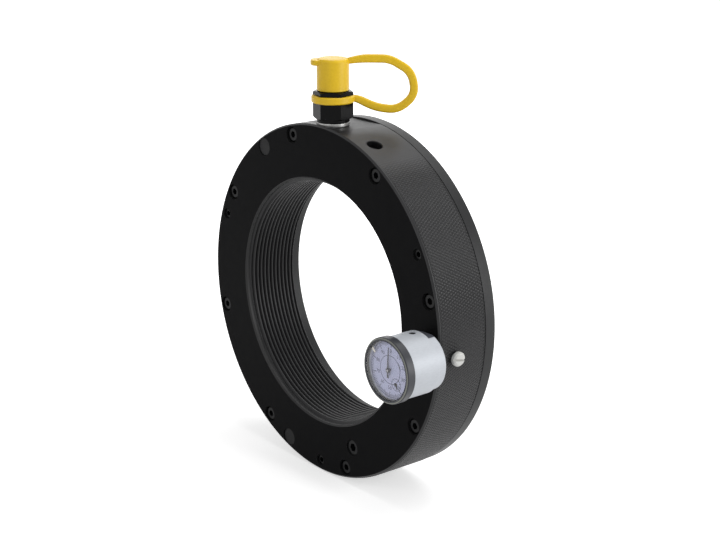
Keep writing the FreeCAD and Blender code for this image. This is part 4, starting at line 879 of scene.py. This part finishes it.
crystal = turned("crystal_look", [
    (0.0, -33.0), (18.1, -33.0), (18.1, -34.15), (17.65, -34.15), (17.55, -34.75, 0.3), (14.0, -35.3, 3.0),
    (9.0, -35.65, 4.0), (0.0, -35.8),
], GAUGE @ ALONG_SHAFT, 128, 4)
smooth(crystal, 40.0, False)
dress(crystal, "bezel", "crystal", crystal_clear, "crystal")

DIAL_FRONT = -30.6
ON_DIAL = Matrix.Rotation(math.radians(90.0), 4, "X")
TICK_HIGH = 0.04


def dial_frame(place, depth=DIAL_FRONT):
    """Frame whose X and Y lie in the dial and whose Z points to the reader."""
    return place @ Matrix.Translation((0.0, depth, 0.0)) @ ON_DIAL


def tick(place, clock, inner, outer, half):
    turn = place @ Matrix.Rotation(math.radians(-clock), 4, "Z")
    return prism("tick", [(-half, inner), (half, inner), (half, outer), (-half, outer)], 0.0, TICK_HIGH, turn)


def numeral(text, place, clock, reach, height):
    """A plain upright number on the dial, as a thin raised shape."""
    curve = bpy.data.curves.new("numeral", "FONT")
    curve.body = text
    curve.size = height
    curve.align_x = "CENTER"
    curve.align_y = "CENTER"
    curve.extrude = TICK_HIGH / 2.0
    curve.resolution_u = 3
    holder = bpy.data.objects.new("numeral", curve)
    bpy.context.scene.collection.objects.link(holder)
    bpy.context.view_layer.update()
    graph = bpy.context.evaluated_depsgraph_get()
    mesh = bpy.data.meshes.new_from_object(holder.evaluated_get(graph), depsgraph=graph)
    bpy.data.objects.remove(holder)
    angle = math.radians(clock)
    spot = Matrix.Translation((reach * math.sin(angle), reach * math.cos(angle), TICK_HIGH / 2.0))
    mesh.transform(Matrix.Scale(MM, 4) @ place @ spot)
    made = bpy.data.objects.new("numeral", mesh)
    bpy.context.scene.collection.objects.link(made)
    return made


def dial_ring(place, radius, half):
    return turned("dial_ring", [(radius - half, 0.0), (radius + half, 0.0), (radius + half, TICK_HIGH),
                                (radius - half, TICK_HIGH)], place, 96)


DIAL = dial_frame(GAUGE)
SUB = dial_frame(COUNTER)
TICK_OUTER, TICK_THIN, TICK_BOLD = 16.2, 0.13, 0.22
LONG_FROM, MID_FROM, SHORT_FROM = 13.0, 13.8, 14.4
marks = []
for n in range(100):
    inner = LONG_FROM if n % 10 == 0 else MID_FROM if n % 5 == 0 else SHORT_FROM
    marks.append(tick(DIAL, 3.6 * n, inner, TICK_OUTER, TICK_BOLD if n % 10 == 0 else TICK_THIN))
for n in range(10):
    marks.append(numeral(str(n * 10), DIAL, 36.0 * n, 10.9, 3.0))
marks.append(dial_ring(DIAL, 8.4, 0.15))
marks.append(dial_ring(DIAL, 16.3, 0.1))
for n in range(10):
    marks.append(tick(SUB, 36.0 * n, 2.6, 3.5, TICK_THIN))
marks.append(dial_ring(SUB, 3.6, TICK_THIN))
marks = joined("dial_marks", marks)
dress(marks, "nut", "dial_face", ink)


def hand(name, place, reach, tail, hub, root, tip, thick, clock):
    """A tapered pointer with a tail and a domed hub."""
    turn = place @ Matrix.Rotation(math.radians(-clock), 4, "Z")
    blade = prism("blade", [(-root * 1.5, -tail), (root * 1.5, -tail), (root * 0.8, -tail * 0.3), (root, 0.0),
                            (tip, reach), (-tip, reach), (-root, 0.0), (-root * 0.8, -tail * 0.3)], 0.0, thick, turn)
    boss = turned("boss", [(0.0, 0.0), (hub, 0.0), (hub, thick + 0.15, 0.1), (hub * 0.5, thick + 0.25),
                           (0.0, thick + 0.25)], turn, 48)
    made = joined(name, [blade, boss])
    return smooth(made, 35.0, False)


main_hand = hand("main_hand", dial_frame(GAUGE, -32.0), 13.6, 4.6, 1.6, 0.5, 0.24, 0.25, 0.0)
dress(main_hand, "pointer", "pointer_black", pointer_ink, "main_pointer")
small_hand = hand("small_hand", dial_frame(COUNTER, -31.0), 2.9, 1.2, 0.95, 0.42, 0.16, 0.2, 150.0)
dress(small_hand, "counter", "pointer_black", pointer_ink, "counter_pointer")

# Nylon clamp screw with its slot and its neck
clamp_place = radial(GAUGE_CLOCK, RIM, PORT_DEPTH)
clamp = turned("clamp_look", [
    (0.0, -2.7), (2.5, -2.7, 0.4), (2.5, 1.6), (4.2, 1.6, 0.4), (4.5, 2.2, 0.4), (4.5, 4.0, 0.8), (3.4, 5.1, 0.8),
    (0.0, 5.2),
], clamp_place, 24)
cut(clamp, [prism("slot", [(-0.65, -6.0), (0.65, -6.0), (0.65, 6.0), (-0.65, 6.0)], 3.7, 7.0,
                  clamp_place @ Matrix.Rotation(math.radians(-10.0), 4, "Z"))])
smooth(clamp, 35.0)
dress(clamp, "clamp", "white_nylon", nylon, "clamp_screw")

# Coil springs

def spring(mean, wire, turns, length, place):
    """A coil of round wire along local Z, from height 0 to its length."""
    ring = 10
    steps = int(turns * 28)
    verts, faces = [], []
    rise = (length - 2.0 * wire) / steps
    for k in range(steps + 1):
        angle = 2.0 * math.pi * turns * k / steps
        across = Vector((math.cos(angle), math.sin(angle), 0.0))
        middle = across * mean + Vector((0.0, 0.0, wire + rise * k))
        for m in range(ring):
            a = 2.0 * math.pi * m / ring
            verts.append(middle + across * (wire * math.cos(a)) + Vector((0.0, 0.0, wire * math.sin(a))))
    for k in range(steps):
        for m in range(ring):
            n = (m + 1) % ring
            faces.append([k * ring + m, k * ring + n, (k + 1) * ring + n, (k + 1) * ring + m])
    faces.append(list(range(ring))[::-1])
    faces.append([steps * ring + m for m in range(ring)])
    return smooth(new_object("coil", verts, faces, place), 50.0, False)


def spring_look(name, coils, node):
    made = joined(name, coils)
    made.data.materials.clear()
    made.data.materials.append(spring_grey)
    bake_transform(made)
    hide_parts(node)


SPRING_LOW, SPRING_HIGH = 6.3, 18.9
spring_look("return_coils", [
    spring(3.7, 0.55, 4.5, SPRING_HIGH - SPRING_LOW,
           FRONT @ Matrix.Translation(clock_point(c, PITCH_RADIUS, SPRING_LOW)) @ ALONG_SHAFT) for c in SCREW_CLOCKS],
    "return_springs")
valve_low, valve_high = [Vector(corner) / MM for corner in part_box("poppet_spring")]
spring_look("poppet_coil", [
    spring(2.75, 0.4, 6.0, valve_high.z - valve_low.z, Matrix.Translation((0.0, PORT_DEPTH - DATUM, valve_low.z)))],
    "poppet_spring")
plunger_low, plunger_high = [Vector(corner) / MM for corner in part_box("plunger_spring")]
spring_look("plunger_coil", [
    spring(1.2, 0.22, 7.0, plunger_high.y - plunger_low.y,
           Matrix.Translation((GAUGE_AT.x - 4.4, plunger_low.y, GAUGE_AT.z)) @ ALONG_SHAFT)],
    "plunger_spring")

# Materials of the nodes that keep their own shape
KEPT = {
    "outer_seal": seal_black, "inner_seal": seal_black, "washer_seal": seal_black, "crystal_seat": seal_black,
    "outer_backup_ring": backup_white, "inner_backup_ring": backup_white, "spring_retainer": steel,
    "valve_poppet": steel,
    "case_plug": plug_black, "gauge_stem": steel, "movement_frame": brass, "dial_plate": dial_grey,
    "dial_spacer": bezel_grey, "gauge_plunger": steel, "contact_tip": steel, "rack_arbor": brass,
    "pointer_arbor": steel, "counter_arbor": brass, "tolerance_marker": marker_pale,
}
for node, mat in KEPT.items():
    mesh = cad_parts[node].data
    mesh.materials.clear()
    mesh.materials.append(mat)

# Floor, backdrop and light
FLOOR_Z = -0.1152


def plain_stage(name, verts):
    mesh = bpy.data.meshes.new(name)
    mesh.from_pydata(verts, [], [list(range(len(verts)))])
    made = bpy.data.objects.new(name, mesh)
    bpy.context.scene.collection.objects.link(made)
    return made


floor = plain_stage("floor", [(-6.0, -6.0, FLOOR_Z), (6.0, -6.0, FLOOR_Z), (6.0, 6.0, FLOOR_Z), (-6.0, 6.0, FLOOR_Z)])


def seen_directly(nodes, links):
    """1 for rays from the camera, from mirrors and through glass, 0 for the light that falls on the object."""
    path = nodes.new("ShaderNodeLightPath")
    last = path.outputs["Is Camera Ray"]
    for name in ("Is Glossy Ray", "Is Transmission Ray"):
        pick = nodes.new("ShaderNodeMath")
        pick.operation = "MAXIMUM"
        links.new(last, pick.inputs[0])
        links.new(path.outputs[name], pick.inputs[1])
        last = pick.outputs["Value"]
    return last


def floor_material():
    mat = bpy.data.materials.new("floor_white_painted_shadow")
    mat.use_nodes = True
    nodes = mat.node_tree.nodes
    links = mat.node_tree.links
    shader = nodes["Principled BSDF"]
    shader.inputs["Base Color"].default_value = (0.9, 0.9, 0.9, 1.0)
    shader.inputs["Roughness"].default_value = 0.9
    shader.inputs["Specular IOR Level"].default_value = 0.0
    shader.inputs["Emission Color"].default_value = (1.0, 1.0, 1.0, 1.0)
    where = nodes.new("ShaderNodeTexCoord")
    away = nodes.new("ShaderNodeVectorMath")
    away.operation = "LENGTH"
    links.new(where.outputs["Object"], away.inputs[0])
    # Painted shadow: the floor's glow seen by the camera is at half strength near the object and at full strength from
    # 0.5 m out, darkening the floor round the object on top of the lamps' real shadow
    fade = nodes.new("ShaderNodeMapRange")
    fade.inputs["From Min"].default_value = 0.08
    fade.inputs["From Max"].default_value = 0.5
    fade.inputs["To Min"].default_value = 0.5
    fade.inputs["To Max"].default_value = 1.0
    links.new(away.outputs["Value"], fade.inputs["Value"])
    gain = nodes.new("ShaderNodeMath")
    gain.operation = "MULTIPLY"
    links.new(fade.outputs["Result"], gain.inputs[1])
    links.new(seen_directly(nodes, links), gain.inputs[0])
    links.new(gain.outputs["Value"], shader.inputs["Emission Strength"])
    return mat


floor.data.materials.append(floor_material())

world = bpy.data.worlds.new("studio")
bpy.context.scene.world = world
world.use_nodes = True
wn = world.node_tree.nodes
wl = world.node_tree.links
background = wn["Background"]
background.inputs["Color"].default_value = (1.0, 1.0, 1.0, 1.0)
background.inputs["Strength"].default_value = 0.27
white = wn.new("ShaderNodeBackground")
white.inputs["Color"].default_value = (1.0, 1.0, 1.0, 1.0)
white.inputs["Strength"].default_value = 1.0
choose = wn.new("ShaderNodeMixShader")
wl.new(seen_directly(wn, wl), choose.inputs["Fac"])
wl.new(background.outputs["Background"], choose.inputs[1])
wl.new(white.outputs["Background"], choose.inputs[2])
wl.new(choose.outputs["Shader"], wn["World Output"].inputs["Surface"])


def area_light(name, place, target, size, power):
    data = bpy.data.lights.new(name, "AREA")
    data.shape = "RECTANGLE"
    data.size = size[0]
    data.size_y = size[1]
    data.energy = power
    made = bpy.data.objects.new(name, data)
    made.location = place
    aim = Vector(target) - Vector(place)
    made.rotation_euler = aim.to_track_quat("-Z", "Y").to_euler()
    bpy.context.scene.collection.objects.link(made)
    return made


area_light("top_light", (0.1, 0.3, 1.2), (0.0, 0.0, 0.0), (1.1, 1.1), 8.0)
area_light("right_light", (1.3, 0.7, 0.4), (0.0, 0.0, 0.05), (0.5, 0.9), 9.5)
area_light("front_light", (0.3, -1.3, 0.7), (0.0, 0.0, 0.05), (0.7, 0.9), 3.5)
area_light("back_light", (-0.95, 0.8, 0.55), (0.0, 0.0, 0.05), (1.0, 1.0), 3.0)

# Camera from the photograph's fitted view
eye = Vector((746.76, -580.28, 300.81)) * MM
forward = Vector((-0.7433, 0.6056, -0.2840)).normalized()
right = forward.cross(Vector((0.0, 0.0, 1.0))).normalized()
up = right.cross(forward).normalized()
camera_data = bpy.data.cameras.new("camera")
camera_data.sensor_width = 36.0
camera_data.lens = 77.454
camera_data.clip_end = 100.0
camera = bpy.data.objects.new("camera", camera_data)
camera.matrix_world = Matrix((
    (right.x, up.x, -forward.x, eye.x),
    (right.y, up.y, -forward.y, eye.y),
    (right.z, up.z, -forward.z, eye.z),
    (0.0, 0.0, 0.0, 1.0)))
bpy.context.scene.collection.objects.link(camera)
bpy.context.scene.camera = camera
bpy.context.scene.view_settings.view_transform = "Standard"
